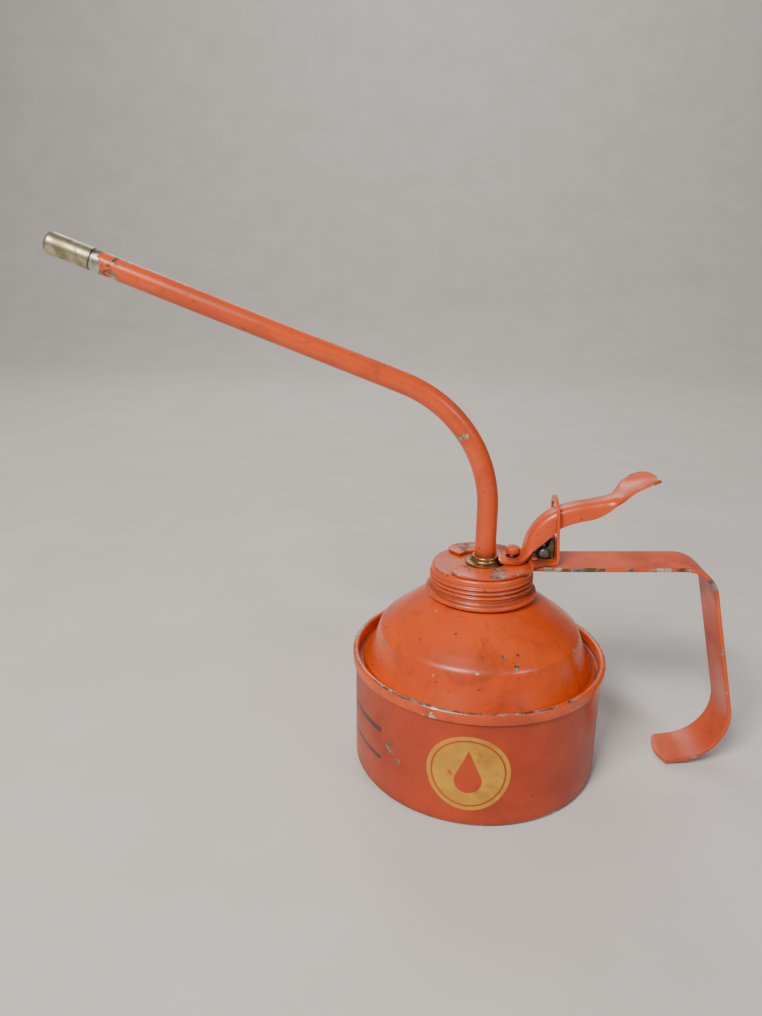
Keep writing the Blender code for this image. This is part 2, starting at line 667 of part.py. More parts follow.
# Stations along the lever's crown: x, z, half width, flange depth (negative where the edges turn up).
LEVER_STATIONS = [
    (FOOT_X, FOOT_TOP_Z - 0.0003, FOOT_HALF * 0.80, 0.0),
    (FOOT_X + 0.0014, FOOT_TOP_Z, FOOT_HALF, 0.0),
    (0.0126, FOOT_TOP_Z, FOOT_HALF, 0.0001),
    (0.0148, 0.0882, FOOT_HALF * 0.93, 0.0012),
    (0.0156, 0.0918, LEVER_HALF * 1.10, 0.0036),
    (0.0174, 0.0968, LEVER_HALF, 0.0062),
    (0.0207, 0.1017, LEVER_HALF, 0.0070),
    (0.0255, 0.1055, LEVER_HALF, 0.0066),
    (0.0330, 0.1082, LEVER_HALF, 0.0064),
    (0.0400, 0.1096, LEVER_HALF, 0.0060),
    (0.0450, 0.1108, LEVER_HALF * 1.08, 0.0040),
    (0.0490, 0.1124, LEVER_HALF * 1.32, 0.0010),
    (0.0530, 0.1144, PAD_HALF * 0.97, -0.0012),
    (0.0570, 0.1161, PAD_HALF, -0.0019),
    (0.0605, 0.1172, PAD_HALF * 0.86, -0.0021),
    (0.0630, 0.1179, PAD_HALF * 0.58, -0.0017),
    (0.0642, 0.1183, PAD_HALF * 0.22, -0.0010),
]


def lever_rows(columns=8):
    """Rows across the lever's upper skin, one for each station."""
    rows = []
    for i, (x, z, half, depth) in enumerate(LEVER_STATIONS):
        before = LEVER_STATIONS[max(i - 1, 0)]
        after = LEVER_STATIONS[min(i + 1, len(LEVER_STATIONS) - 1)]
        way = Vector((after[0] - before[0], 0, after[1] - before[1])).normalized()
        up = way.cross(Vector((0, 1, 0)))
        row = []
        for k in range(columns + 1):
            share = 2 * k / columns - 1
            if depth > 0:
                bend = min(1, depth / half)
                y = half * (share * (1 - bend) + math.sin(share * math.pi / 2) * bend)
                drop = depth * abs(share) ** (2 + 1.5 * bend)
            else:
                y = half * share
                drop = depth * share ** 2
            row.append(Vector((x, y, z)) - up * drop)
        rows.append(row)
    return rows


def make_lever(paint, steel, pivot):
    """The pressed thumb lever, and the yoke inside it that turns on the fulcrum pin."""
    lever = sheet("thumb_lever", lever_rows(), LEVER_SHEET, paint, pivot)
    slot_half = ROD_R + 4 * RUN
    slot = prism(arc((0, 0), slot_half, 0, 330, 11), FOOT_TOP_Z - 3 * LEVER_SHEET, FOOT_TOP_Z + LEVER_SHEET)
    bmesh.ops.translate(slot, vec=(PLUNGER_X, 0, 0), verts=slot.verts)
    shape_with(lever, "DIFFERENCE", "lever_rod_slot", slot, pivot)

    ear = arc((PIVOT_X, PIVOT_Z), EYE_R, -130, 60, 8) + YOKE_BACK
    width = EAR_IN + EAR_SHEET
    yoke = add("lever_yoke", prism(ear, -width, width, axis="Y"), steel, pivot)
    shape_with(yoke, "DIFFERENCE", "yoke_channel", prism(YOKE_CHANNEL, -EAR_IN, EAR_IN, axis="Y"), pivot)
    hole = prism(arc((PIVOT_X, PIVOT_Z), PIN_R + RUN, 0, 330, 11), -2 * width, 2 * width, axis="Y")
    shape_with(yoke, "DIFFERENCE", "yoke_pin_hole", hole, pivot)


def make_pin(steel, pivot):
    """The fulcrum pin, riveted over outside both cheeks."""
    reach = CHEEK_IN + CHEEK_SHEET + GAP
    outline = [(0, -reach - PIN_HEAD), (PIN_HEAD_R * 0.8, -reach - PIN_HEAD)]
    outline += [(PIN_HEAD_R, -reach - PIN_HEAD / 2), (PIN_HEAD_R, -reach), (PIN_R, -reach)]
    outline += [(r, -z) for r, z in outline[::-1]]
    work = turned(outline, TINY)
    turn = Matrix.Translation((PIVOT_X, 0, PIVOT_Z)) @ Matrix.Rotation(math.pi / 2, 4, "X")
    bmesh.ops.transform(work, matrix=turn, verts=work.verts)
    add("fulcrum_pin", work, steel, pivot)


# ---------------------------------------------------------------- pump

def make_pump_head(brass, pivot):
    """The brass block under the cap: rod bore and gland on one side, outlet valve and spout on the other."""
    top = CAP_TOP_Z - CAP_SHEET - GAP
    spread = math.degrees(math.acos((BLOCK_SPOUT_R - BLOCK_ROD_R) / (PLUNGER_X - SPOUT_X)))
    outline = arc((SPOUT_X, 0), BLOCK_SPOUT_R, spread, 360 - spread, 12)
    outline += arc((PLUNGER_X, 0), BLOCK_ROD_R, -spread, spread, 10)
    block = add("pump_head", prism(outline, BLOCK_Z, top), brass, pivot)
    spigot_r = BARREL_R - BARREL_WALL - GAP
    spigot = cylinder(spigot_r, BLOCK_Z - GAP - SPIGOT, BLOCK_Z + SPIGOT, PLUNGER_X)
    shape_with(block, "UNION", "head_spigot", spigot, pivot)

    port_low = PORT_Z - PORT_R - GAP
    cone_top = OUTLET_SEAT_Z + CHAMBER_R - SEAT_HOLE_R
    outlet = [(0, port_low), (SEAT_HOLE_R, port_low), (SEAT_HOLE_R, OUTLET_SEAT_Z), (CHAMBER_R, cone_top)]
    outlet += [(CHAMBER_R, outlet_ball_z() + BALL_R), (SPOUT_R, SPOUT_SOCKET_Z)]
    outlet += [(SPOUT_R + GAP, SPOUT_SOCKET_Z), (SPOUT_R + GAP, top + GAP), (0, top + GAP)]
    shape_with(block, "DIFFERENCE", "outlet_bore", turned(outlet, SMALL, SPOUT_X), pivot)
    low = BLOCK_Z - GAP - 2 * SPIGOT
    rod_way = [(0, low), (ROD_BORE_R, low), (ROD_BORE_R, GLAND_Z), (GLAND_BORE_R, GLAND_Z)]
    rod_way += [(GLAND_BORE_R, top + GAP), (0, top + GAP)]
    shape_with(block, "DIFFERENCE", "rod_bore", turned(rod_way, SMALL, PLUNGER_X), pivot)
    port = prism(arc((0, PORT_Z), PORT_R, 0, 330, 11), SPOUT_X, PLUNGER_X, axis="X")
    shape_with(block, "DIFFERENCE", "cross_port", port, pivot)


def make_pump_fixed(brass, steel, pivot):
    """The pump pieces that stay with the head: gland, barrel, foot valve, strainer and the two springs."""
    top = CAP_TOP_Z - CAP_SHEET - GAP
    low = GLAND_Z + GAP
    gland = [(ROD_R + RUN, low), (GLAND_BORE_R - GAP, low), (GLAND_BORE_R - GAP, top), (ROD_R + RUN, top)]
    add("rod_gland", turned(gland, SMALL, PLUNGER_X), brass, pivot)

    bore = BARREL_R - BARREL_WALL
    high = BLOCK_Z - GAP
    barrel = [(bore, BARREL_LOW_Z), (BARREL_R, BARREL_LOW_Z), (BARREL_R, high), (bore, high)]
    add("pump_barrel", turned(barrel, SMALL, PLUNGER_X), brass, pivot)

    flange_top = BARREL_LOW_Z - GAP
    flange_low = flange_top - VALVE_FLANGE
    spigot_r = bore - GAP
    cone_top = INLET_SEAT_Z + INLET_CHAMBER_R - SEAT_HOLE_R
    stop_z = inlet_ball_z() + BALL_R + INLET_LIFT + GAP
    lower_r = BARREL_R - STRAINER_WALL - 2 * GAP
    valve = [(SEAT_HOLE_R, flange_low - SPIGOT), (lower_r, flange_low - SPIGOT), (lower_r, flange_low)]
    valve += [(BARREL_R, flange_low), (BARREL_R, flange_top), (spigot_r, flange_top)]
    valve += [(spigot_r, stop_z + INLET_LIP), (SEAT_HOLE_R, stop_z + INLET_LIP), (SEAT_HOLE_R, stop_z)]
    valve += [(INLET_CHAMBER_R, stop_z), (INLET_CHAMBER_R, cone_top)]
    valve += [(SEAT_HOLE_R, INLET_SEAT_Z)]
    add("foot_valve_body", turned(valve, SMALL, PLUNGER_X), brass, pivot)

    strainer_top = flange_low - GAP
    wall_in = BARREL_R - STRAINER_WALL - GAP
    floor_top = STRAINER_Z + STRAINER_WALL
    cup = [(0, STRAINER_Z), (BARREL_R - GAP, STRAINER_Z), (BARREL_R - GAP, strainer_top)]
    cup += [(wall_in, strainer_top), (wall_in, floor_top), (0, floor_top)]
    strainer = add("inlet_strainer", turned(cup, SMALL, PLUNGER_X), brass, pivot)
    reach, half = 2 * BARREL_R, STRAINER_SLOT_HALF
    slot = [(-reach, -half), (reach, -half), (reach, half), (-reach, half)]
    for i in range(3):
        bar = prism(slot, STRAINER_Z + STRAINER_SLOT_LOW, STRAINER_Z + STRAINER_SLOT_HIGH)
        spin = Matrix.Translation((PLUNGER_X, 0, 0)) @ Matrix.Rotation(i * math.pi / 3, 4, "Z")
        bmesh.ops.transform(bar, matrix=spin, verts=bar.verts)
        shape_with(strainer, "DIFFERENCE", f"strainer_slot_{i + 1}", bar, pivot)

    spring_low = PISTON_TOP_Z + GAP + SPRING_WIRE_R
    spring_high = BLOCK_Z - GAP - SPIGOT - GAP - SPRING_WIRE_R
    spring = coil(SPRING_TURNS, spring_low, spring_high, SPRING_COIL_R, SPRING_COIL_R, SPRING_WIRE_R, PLUNGER_X)
    add("plunger_spring", spring, steel, pivot)
    low = outlet_ball_z() + BALL_R + GAP + OUTLET_WIRE_R
    high = SPOUT_SOCKET_Z + SPRING_SEAT - GAP - OUTLET_WIRE_R
    narrow = BALL_R * 0.6
    wide = SPOUT_R - OUTLET_WIRE_R - GAP
    add("outlet_spring", coil(OUTLET_TURNS, low, high, narrow, wide, OUTLET_WIRE_R, SPOUT_X), steel, pivot)


def ball_height(seat_z):
    """The height of a ball's centre on a 45 degree seat whose lower edge is at seat_z."""
    return seat_z - SEAT_HOLE_R + (BALL_R + SEAT_GAP) * math.sqrt(2)


def inlet_ball_z():
    return ball_height(INLET_SEAT_Z)


def outlet_ball_z():
    return ball_height(OUTLET_SEAT_Z)


def make_ball(name, x, z, steel):
    """A valve ball, with its origin at its centre."""
    pivot = empty(name + "_axis", (x, 0, z))
    work = bmesh.new()
    bmesh.ops.create_uvsphere(work, u_segments=12, v_segments=8, radius=BALL_R)
    bmesh.ops.translate(work, vec=(x, 0, z), verts=work.verts)
    add(name, work, steel, pivot)


def make_plunger(paint, brass, steel, leather, pivot):
    """Everything on the rod: head, rod, piston, cup and nut."""
    neck_z = HEAD_Z + HEAD_HEIGHT * 0.6
    piston_low = PISTON_TOP_Z - PISTON_THICK
    cup_low = piston_low - GAP - CUP_SHEET
    nut_top = cup_low - GAP
    end_z = nut_top - NUT_THICK - GAP
    rod = [(0, neck_z), (ROD_END_R, neck_z), (ROD_END_R, HEAD_Z - GAP), (ROD_R, HEAD_Z - GAP)]
    rod += [(ROD_R, PISTON_TOP_Z + GAP), (ROD_END_R, PISTON_TOP_Z + GAP), (ROD_END_R, end_z), (0, end_z)]
    add("plunger_rod", turned(rod, SMALL, PLUNGER_X), steel, pivot)

    hole = ROD_END_R + GAP
    top = HEAD_Z + HEAD_HEIGHT
    dome = rounded([(0, top), (HEAD_R, top, HEAD_R * 0.7), (HEAD_R, HEAD_Z)], 25)
    head = dome + [(hole, HEAD_Z), (hole, neck_z + GAP), (0, neck_z + GAP)]
    add("plunger_head", turned(head, SMALL, PLUNGER_X), paint, pivot)

    bore = BARREL_R - BARREL_WALL
    cup_r = bore - GAP
    piston_r = cup_r - CUP_SHEET - GAP
    piston = [(hole, PISTON_TOP_Z), (piston_r, PISTON_TOP_Z), (piston_r, piston_low), (hole, piston_low)]
    add("piston", turned(piston, SMALL, PLUNGER_X), brass, pivot)
    cup = [(hole, cup_low), (cup_r - CUP_SHEET, cup_low), (cup_r, cup_low + CUP_SHEET), (cup_r, PISTON_TOP_Z)]
    cup_floor = cup_low + CUP_SHEET
    cup += [(cup_r - CUP_SHEET, PISTON_TOP_Z), (cup_r - CUP_SHEET, cup_floor), (hole, cup_floor)]
    add("piston_cup", turned(cup, SMALL, PLUNGER_X), leather, pivot)

    corner = NUT_FLATS / math.sqrt(3)
    nut = prism(arc((PLUNGER_X, 0), corner, 0, 300, 5), nut_top - NUT_THICK, nut_top)
    nut_solid = add("piston_nut", nut, steel, pivot)
    thread_hole = cylinder(hole, nut_top - 2 * NUT_THICK, nut_top + NUT_THICK, PLUNGER_X, TINY)
    shape_with(nut_solid, "DIFFERENCE", "nut_hole", thread_hole, pivot)


def main():
    for found in list(bpy.data.objects):
        bpy.data.objects.remove(found, do_unlink=True)

    orange = material("orange_paint", (0.62, 0.11, 0.03), 0.38, 0.0)
    bright = material("bare_steel", (0.46, 0.45, 0.43), 0.35, 1.0)
    brass = material("brass", (0.60, 0.47, 0.25), 0.40, 1.0)
    leather = material("leather", (0.16, 0.09, 0.05), 0.80, 0.0)
    cork = material("cork", (0.40, 0.27, 0.15), 0.90, 0.0)

    head = empty("cap_axis", (0, 0, NECK_TOP_Z))
    lever = empty("lever_axis", (PIVOT_X, 0, PIVOT_Z))
    plunger = empty("plunger_axis", (PLUNGER_X, 0, HEAD_Z))

    make_drum(orange)
    make_dome(orange)
    make_neck(orange)
    make_washer(cork, head)
    make_cap(orange, head)
    bracket = make_bracket(orange, head)
    strap = make_strap(orange, head)
    make_rivets(bracket, strap, orange, head)
    make_spout(orange, brass, head)
    make_pin(bright, head)
    make_lever(orange, bright, lever)
    make_pump_head(brass, head)
    make_pump_fixed(brass, bright, head)
    make_plunger(orange, brass, bright, leather, plunger)
    make_ball("inlet_ball", PLUNGER_X, inlet_ball_z(), bright)
    make_ball("outlet_ball", SPOUT_X, outlet_ball_z(), bright)


main()
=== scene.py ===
"""Looks for the handy pump oiler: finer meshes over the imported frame, worn orange paint, floor and light."""

import math

import bmesh
import bpy
from mathutils import Matrix, Vector, noise


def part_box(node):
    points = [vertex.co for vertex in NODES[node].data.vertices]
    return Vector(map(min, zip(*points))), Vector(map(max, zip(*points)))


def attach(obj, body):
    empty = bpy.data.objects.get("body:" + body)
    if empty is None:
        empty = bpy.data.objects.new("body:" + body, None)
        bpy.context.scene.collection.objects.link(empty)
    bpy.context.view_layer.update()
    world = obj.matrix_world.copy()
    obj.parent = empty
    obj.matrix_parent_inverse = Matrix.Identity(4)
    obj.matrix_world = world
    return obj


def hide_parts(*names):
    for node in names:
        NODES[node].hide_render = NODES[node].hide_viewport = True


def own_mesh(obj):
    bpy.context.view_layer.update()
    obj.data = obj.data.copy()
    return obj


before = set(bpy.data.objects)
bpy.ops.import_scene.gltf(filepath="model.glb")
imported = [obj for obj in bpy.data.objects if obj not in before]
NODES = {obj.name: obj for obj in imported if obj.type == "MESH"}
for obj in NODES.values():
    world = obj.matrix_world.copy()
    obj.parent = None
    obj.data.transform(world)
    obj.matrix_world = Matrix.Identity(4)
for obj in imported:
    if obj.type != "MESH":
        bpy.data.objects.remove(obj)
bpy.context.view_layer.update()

MM = 0.001
MERGE = 1e-7


def camera():
    """The photograph's view: slightly above the can, looking past its front."""
    place = Vector((-0.0288, -0.27585, 0.1945))
    heading = Vector((-0.0380, 0.9993, 0.0))
    pitch, roll = math.radians(18.02), math.radians(0.47)
    forward = (heading * math.cos(pitch) - Vector((0, 0, math.sin(pitch)))).normalized()
    right = forward.cross(Vector((0, 0, 1))).normalized()
    up = right.cross(forward)
    turned_right = right * math.cos(roll) + up * math.sin(roll)
    turned_up = up * math.cos(roll) - right * math.sin(roll)
    axes = Matrix((turned_right, turned_up, -forward)).transposed().to_4x4()

    made = bpy.data.objects.new("view_camera", bpy.data.cameras.new("view_camera"))
    bpy.context.scene.collection.objects.link(made)
    made.matrix_world = Matrix.Translation(place) @ axes
    made.data.sensor_fit = "AUTO"
    made.data.sensor_width = 36
    made.data.lens = 26.99
    made.data.clip_start = 0.005
    bpy.context.scene.camera = made


camera()

# ---------------------------------------------------------------- sizes from the frame

drum_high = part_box("drum_shell")[1]
dome_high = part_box("shoulder_dome")[1]
neck_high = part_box("threaded_neck")[1]
cap_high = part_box("screw_cap")[1]
strap_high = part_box("handle_strap")[1]
tube_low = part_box("spout_tube")[0]
rod_low, rod_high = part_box("plunger_rod")
head_low, head_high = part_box("plunger_head")
collar_low, collar_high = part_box("spout_collar")
pin_low, pin_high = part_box("fulcrum_pin")

DRUM_R = drum_high[0]
SEAM_R = dome_high[0]
CAP_TOP = cap_high[2]
ROD_X = (rod_low[0] + rod_high[0]) / 2
ROD_R = (rod_high[0] - rod_low[0]) / 2
COLLAR_X = (collar_low[0] + collar_high[0]) / 2
PIN_X = (pin_low[0] + pin_high[0]) / 2
PIN_Z = (pin_low[2] + pin_high[2]) / 2

# Sizes that more than one piece needs, as the CAD has them.
SHEET = 0.4 * MM
DOME_SHEET = 0.5 * MM
GAP = 0.3 * MM
SEAM_TOP = drum_high[2] + 1.7 * MM
SEAM_ROUND = 1.1 * MM
DOME_EDGE_R, DOME_EDGE_Z = 18.2 * MM, 72.2 * MM
CROWN_R, CROWN_Z = 28.0 * MM, 66.4 * MM
THREAD_PITCH = 1.75 * MM
PLATE = 1.0 * MM
STRAP_SHEET = 1.7 * MM
BRACKET_R = 19.0 * MM
BRACKET_BORE = 9.7 * MM
UPRIGHT_HALF = 7.5 * MM
UPRIGHT_TOP = 111.0 * MM

# ---------------------------------------------------------------- outlines


def all_round(count):
    """Angles all the way round, in radians."""
    return [2 * math.pi * k / count for k in range(count)]


def arc(centre, radius, start, end, steps):
    """Points of an arc round centre, from the angle start to the angle end, in degrees."""
    angles = [math.radians(start + (end - start) * i / steps) for i in range(steps + 1)]
    return [(centre[0] + radius * math.cos(a), centre[1] + radius * math.sin(a)) for a in angles]


def rounded(corners, step=6):
    """A path through corners (x, y) or (x, y, radius), with each radius as an arc of about step degrees."""
    path = [Vector(corners[0][:2])]
    for before, corner, after in zip(corners, corners[1:], corners[2:]):
        here = Vector(corner[:2])
        radius = corner[2] if len(corner) > 2 else 0
        way_in = (here - Vector(before[:2])).normalized()
        way_out = (Vector(after[:2]) - here).normalized()
        turn = math.atan2(way_in.x * way_out.y - way_in.y * way_out.x, way_in.dot(way_out))
        if radius == 0 or abs(turn) < 1e-6:
            path.append(here)
            continue
        reach = radius * math.tan(abs(turn) / 2)
        side = math.copysign(1, turn)
        centre = here - way_in * reach + Vector((-way_in.y, way_in.x)) * radius * side
        spoke = here - way_in * reach - centre
        steps = max(2, round(abs(math.degrees(turn)) / step))
        path += [centre + Matrix.Rotation(turn * i / steps, 2) @ spoke for i in range(steps + 1)]
    path.append(Vector(corners[-1][:2]))
    return [tuple(point) for point in path]


def offset(path, distance):
    """The path moved to its left by distance, with mitred corners."""
    points = [Vector(p) for p in path]
    moved = []
    for i, point in enumerate(points):
        ways = []
        if i > 0:
            ways.append((point - points[i - 1]).normalized())
        if i < len(points) - 1:
            ways.append((points[i + 1] - point).normalized())
        sides = [Vector((-way.y, way.x)) for way in ways]
        middle = sum(sides, Vector((0, 0))).normalized()
        moved.append(tuple(point + middle * distance / middle.dot(sides[0])))
    return moved


def divided(path, spacing):
    """The path with points added, so that none are further apart than spacing."""
    full = [path[0]]
    for (x0, y0), (x1, y1) in zip(path, path[1:]):
        count = max(1, math.ceil(math.hypot(x1 - x0, y1 - y0) / spacing))
        full += [(x0 + (x1 - x0) * i / count, y0 + (y1 - y0) * i / count) for i in range(1, count + 1)]
    return full


def smooth_through(stations, steps):
    """A Catmull-Rom curve through rows of numbers, with steps between each pair."""
    full = []
    last = len(stations) - 1
    for i in range(last):
        a, b, c, d = (Vector(stations[k]) for k in (max(i - 1, 0), i, i + 1, min(i + 2, last)))
        for k in range(steps):
            t = k / steps
            square, cube = 2 * a - 5 * b + 4 * c - d, 3 * b - a - 3 * c + d
            full.append(0.5 * (2 * b + (c - a) * t + square * t**2 + cube * t**3))
    full.append(Vector(stations[last]))
    return full


# ---------------------------------------------------------------- meshes


def finish_piece(name, work, body, replaced, paint, marks=None, closed=True, sharp=40):
    """Makes the object, writes its wear marks and its dirt and painted shade marks, and ties it to the frame.
    """
    bmesh.ops.remove_doubles(work, verts=work.verts, dist=MERGE)
    if closed:
        bmesh.ops.recalc_face_normals(work, faces=work.faces)
    mesh = bpy.data.meshes.new(name)
    work.to_mesh(mesh)
    work.free()
    piece = bpy.data.objects.new(name, mesh)
    bpy.context.scene.collection.objects.link(piece)
    mesh.materials.append(paint)
    if marks:
        write_marks(mesh, marks)
    mesh.shade_smooth()
    mesh.set_sharp_from_angle(angle=math.radians(sharp))
    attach(piece, body)
    if replaced:
        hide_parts(*replaced)
    return piece


def write_marks(mesh, marks):
    """Stores what marks(place) gives, the wear and the dirt and painted shade from 0 to 1, on each point."""
    wear = mesh.attributes.new("wear", "FLOAT", "POINT")
    dirt_and_shade = mesh.attributes.new("dirt_and_shade", "FLOAT", "POINT")
    for i, point in enumerate(mesh.vertices):
        worn, dirtied_and_shaded = marks(point.co)
        wear.data[i].value = min(1.0, max(0.0, worn))
        dirt_and_shade.data[i].value = min(1.0, max(0.0, dirtied_and_shaded))


def turned(outline, segments=160, centre_x=0.0, spacing=None):
    """A bmesh turned round the vertical line at centre_x.

    The outline is a ring, or a path that starts and ends on that line.
    """
    open_path = outline[0][0] <= 0 and outline[-1][0] <= 0
    path = list(outline) if open_path else list(outline) + [outline[0]]
    if spacing:
        path = divided(path, spacing)
    if not open_path:
        path = path[:-1]
    work = bmesh.new()
    spokes = [(math.cos(a), math.sin(a)) for a in all_round(segments)]
    rings = [[work.verts.new((centre_x + r * c, r * s, z)) for c, s in spokes] for r, z in path]
    pairs = list(zip(rings, rings[1:]))
    if not open_path:
        pairs.append((rings[-1], rings[0]))
    for low, high in pairs:
        for k in range(segments):
            n = (k + 1) % segments
            work.faces.new((low[k], low[n], high[n], high[k]))
    bmesh.ops.remove_doubles(work, verts=work.verts, dist=MERGE)
    return work


def warped(work, depth, scale, seed):
    """Pushes the points in and out a little, as thin sheet is never quite true."""
    shift = Vector((seed, 3.7 * seed, 0.3))
    for vert in work.verts:
        flat = Vector((vert.co.x, vert.co.y, 0))
        if flat.length > 1e-4:
            vert.co -= flat.normalized() * depth * (0.5 + 0.5 * noise.noise(vert.co * scale + shift))
    return work


def swept(rings, close_ends=True):
    """A bmesh over rings of points, each joined to the next."""
    work = bmesh.new()
    rows = [[work.verts.new(point) for point in ring] for ring in rings]
    for low, high in zip(rows, rows[1:]):
        for i in range(len(low)):
            j = (i + 1) % len(low)
            work.faces.new((low[i], low[j], high[j], high[i]))
    if close_ends:
        work.faces.new(rows[0])
        work.faces.new(rows[-1])
    return work


def grid(rows):
    """A bmesh sheet over rows of points, facing out of its upper side."""
    work = bmesh.new()
    made = [[work.verts.new(point) for point in row] for row in rows]
    for low, high in zip(made, made[1:]):
        for i in range(len(low) - 1):
            work.faces.new((low[i], high[i], high[i + 1], low[i + 1]))
    return work


def modifier(piece, kind, **settings):
    """Adds a modifier with these settings."""
    made = piece.modifiers.new(kind.lower(), kind)
    for key, value in settings.items():
        setattr(made, key, value)
    return made


def settle(piece):
    """Writes a piece's modifiers into its mesh."""
    bpy.context.view_layer.update()
    graph = bpy.context.evaluated_depsgraph_get()
    mesh = bpy.data.meshes.new_from_object(piece.evaluated_get(graph))
    piece.modifiers.clear()
    old = piece.data
    piece.data = mesh
    bpy.data.meshes.remove(old)


def cut(piece, *cutters):
    """Cuts each closed bmesh out of a piece, and applies it."""
    for work in cutters:
        bmesh.ops.recalc_face_normals(work, faces=work.faces)
        mesh = bpy.data.meshes.new("cutter")
        work.to_mesh(mesh)
        work.free()
        cutter = bpy.data.objects.new("cutter", mesh)
        bpy.context.scene.collection.objects.link(cutter)
        modifier(piece, "BOOLEAN", operation="DIFFERENCE", solver="EXACT", object=cutter)
        settle(piece)
        bpy.data.objects.remove(cutter)


def soften(piece, width, segments, marks=None, angle=38):
    """Rounds the edges of a piece, and writes its marks on the finished mesh."""
    modifier(
        piece, "BEVEL", width=width, segments=segments, limit_method="ANGLE", angle_limit=math.radians(angle))
    settle(piece)
    if marks:
        write_marks(piece.data, marks)
    piece.data.shade_smooth()
    piece.data.set_sharp_from_angle(angle=math.radians(42))


def prism(outline, low, high, axis="Z"):
    """A bmesh of an outline pulled from low to high along an axis."""
    spin = {
        "X": lambda u, v, w: (w, u, v),
        "Y": lambda u, v, w: (u, w, v),
        "Z": lambda u, v, w: (u, v, w),
    }[axis]
    return swept([[spin(u, v, w) for u, v in outline] for w in (low, high)])


def post(radius, low, high, x=0.0, sides=48):
    """A closed upright cylinder."""
    return prism([(x + radius * math.cos(a), radius * math.sin(a)) for a in all_round(sides)], low, high)


def near(value, target, width):
    """1 at the target, falling smoothly to 0 at width away."""
    away = min(1.0, abs(value - target) / width)
    return (1 - away) ** 2 * (1 + 2 * away)


def spot(place, centre, radius):
    """1 at the centre of a spot, falling smoothly to 0 at its radius."""
    return near((place - Vector(centre)).length, 0, radius)


# ---------------------------------------------------------------- materials


class Shader:
    """A node material with short calls for what is used over and over."""

    def __init__(self, name):
        self.material = bpy.data.materials.new(name)
        self.material.use_nodes = True
        self.tree = self.material.node_tree
        self.bsdf = self.tree.nodes["Principled BSDF"]
        self.place = self.tree.nodes.new("ShaderNodeTexCoord").outputs["Object"]

    def put(self, socket, value):
        if isinstance(value, bpy.types.NodeSocket):
            self.tree.links.new(value, socket)
        elif isinstance(value, tuple) and len(value) == 3 and socket.type == "RGBA":
            socket.default_value = (*value, 1)
        else:
            socket.default_value = value

    def set(self, **values):
        for name, value in values.items():
            self.put(self.bsdf.inputs[name.replace("_", " ")], value)

    def noise(self, scale, detail=4.0, rough=0.55, swirl=0.0, stretch=None):
        node = self.tree.nodes.new("ShaderNodeTexNoise")
        place = self.place
        if stretch:
            mapping = self.tree.nodes.new("ShaderNodeMapping")
            mapping.inputs["Scale"].default_value = stretch
            self.put(mapping.inputs["Vector"], place)
            place = mapping.outputs["Vector"]
        self.put(node.inputs["Vector"], place)
        node.inputs["Scale"].default_value = scale
        node.inputs["Detail"].default_value = detail
        node.inputs["Roughness"].default_value = rough
        node.inputs["Distortion"].default_value = swirl
        return node.outputs["Fac"]

    def math(self, operation, a, b=0.0, c=0.0):
        node = self.tree.nodes.new("ShaderNodeMath")
        node.operation = operation
        for socket, value in zip(node.inputs, (a, b, c)):
            self.put(socket, value)
        return node.outputs[0]

    def step(self, value, low, high, to_low=0.0, to_high=1.0):
        """Goes smoothly from to_low to to_high as value goes from low to high."""
        node = self.tree.nodes.new("ShaderNodeMapRange")
        node.interpolation_type = "SMOOTHSTEP"
        self.put(node.inputs["Value"], value)
        for name, number in (("From Min", low), ("From Max", high), ("To Min", to_low), ("To Max", to_high)):
            self.put(node.inputs[name], number)
        return node.outputs["Result"]

    def mix(self, share, a, b, blend="MIX"):
        node = self.tree.nodes.new("ShaderNodeMix")
        node.data_type = "RGBA"
        node.blend_type = blend
        self.put(node.inputs["Factor"], share)
        self.put(node.inputs[6], a)
        self.put(node.inputs[7], b)
        return node.outputs[2]

    def mark(self, name):
        node = self.tree.nodes.new("ShaderNodeAttribute")
        node.attribute_name = name
        return node.outputs["Fac"]

    def axes(self):
        node = self.tree.nodes.new("ShaderNodeSeparateXYZ")
        self.put(node.inputs[0], self.place)
        return node.outputs

    def bump(self, height, distance, strength=1.0, under=None):
        node = self.tree.nodes.new("ShaderNodeBump")
        node.inputs["Distance"].default_value = distance
        node.inputs["Strength"].default_value = strength
        self.put(node.inputs["Height"], height)
        if under:
            self.put(node.inputs["Normal"], under)
        return node.outputs["Normal"]


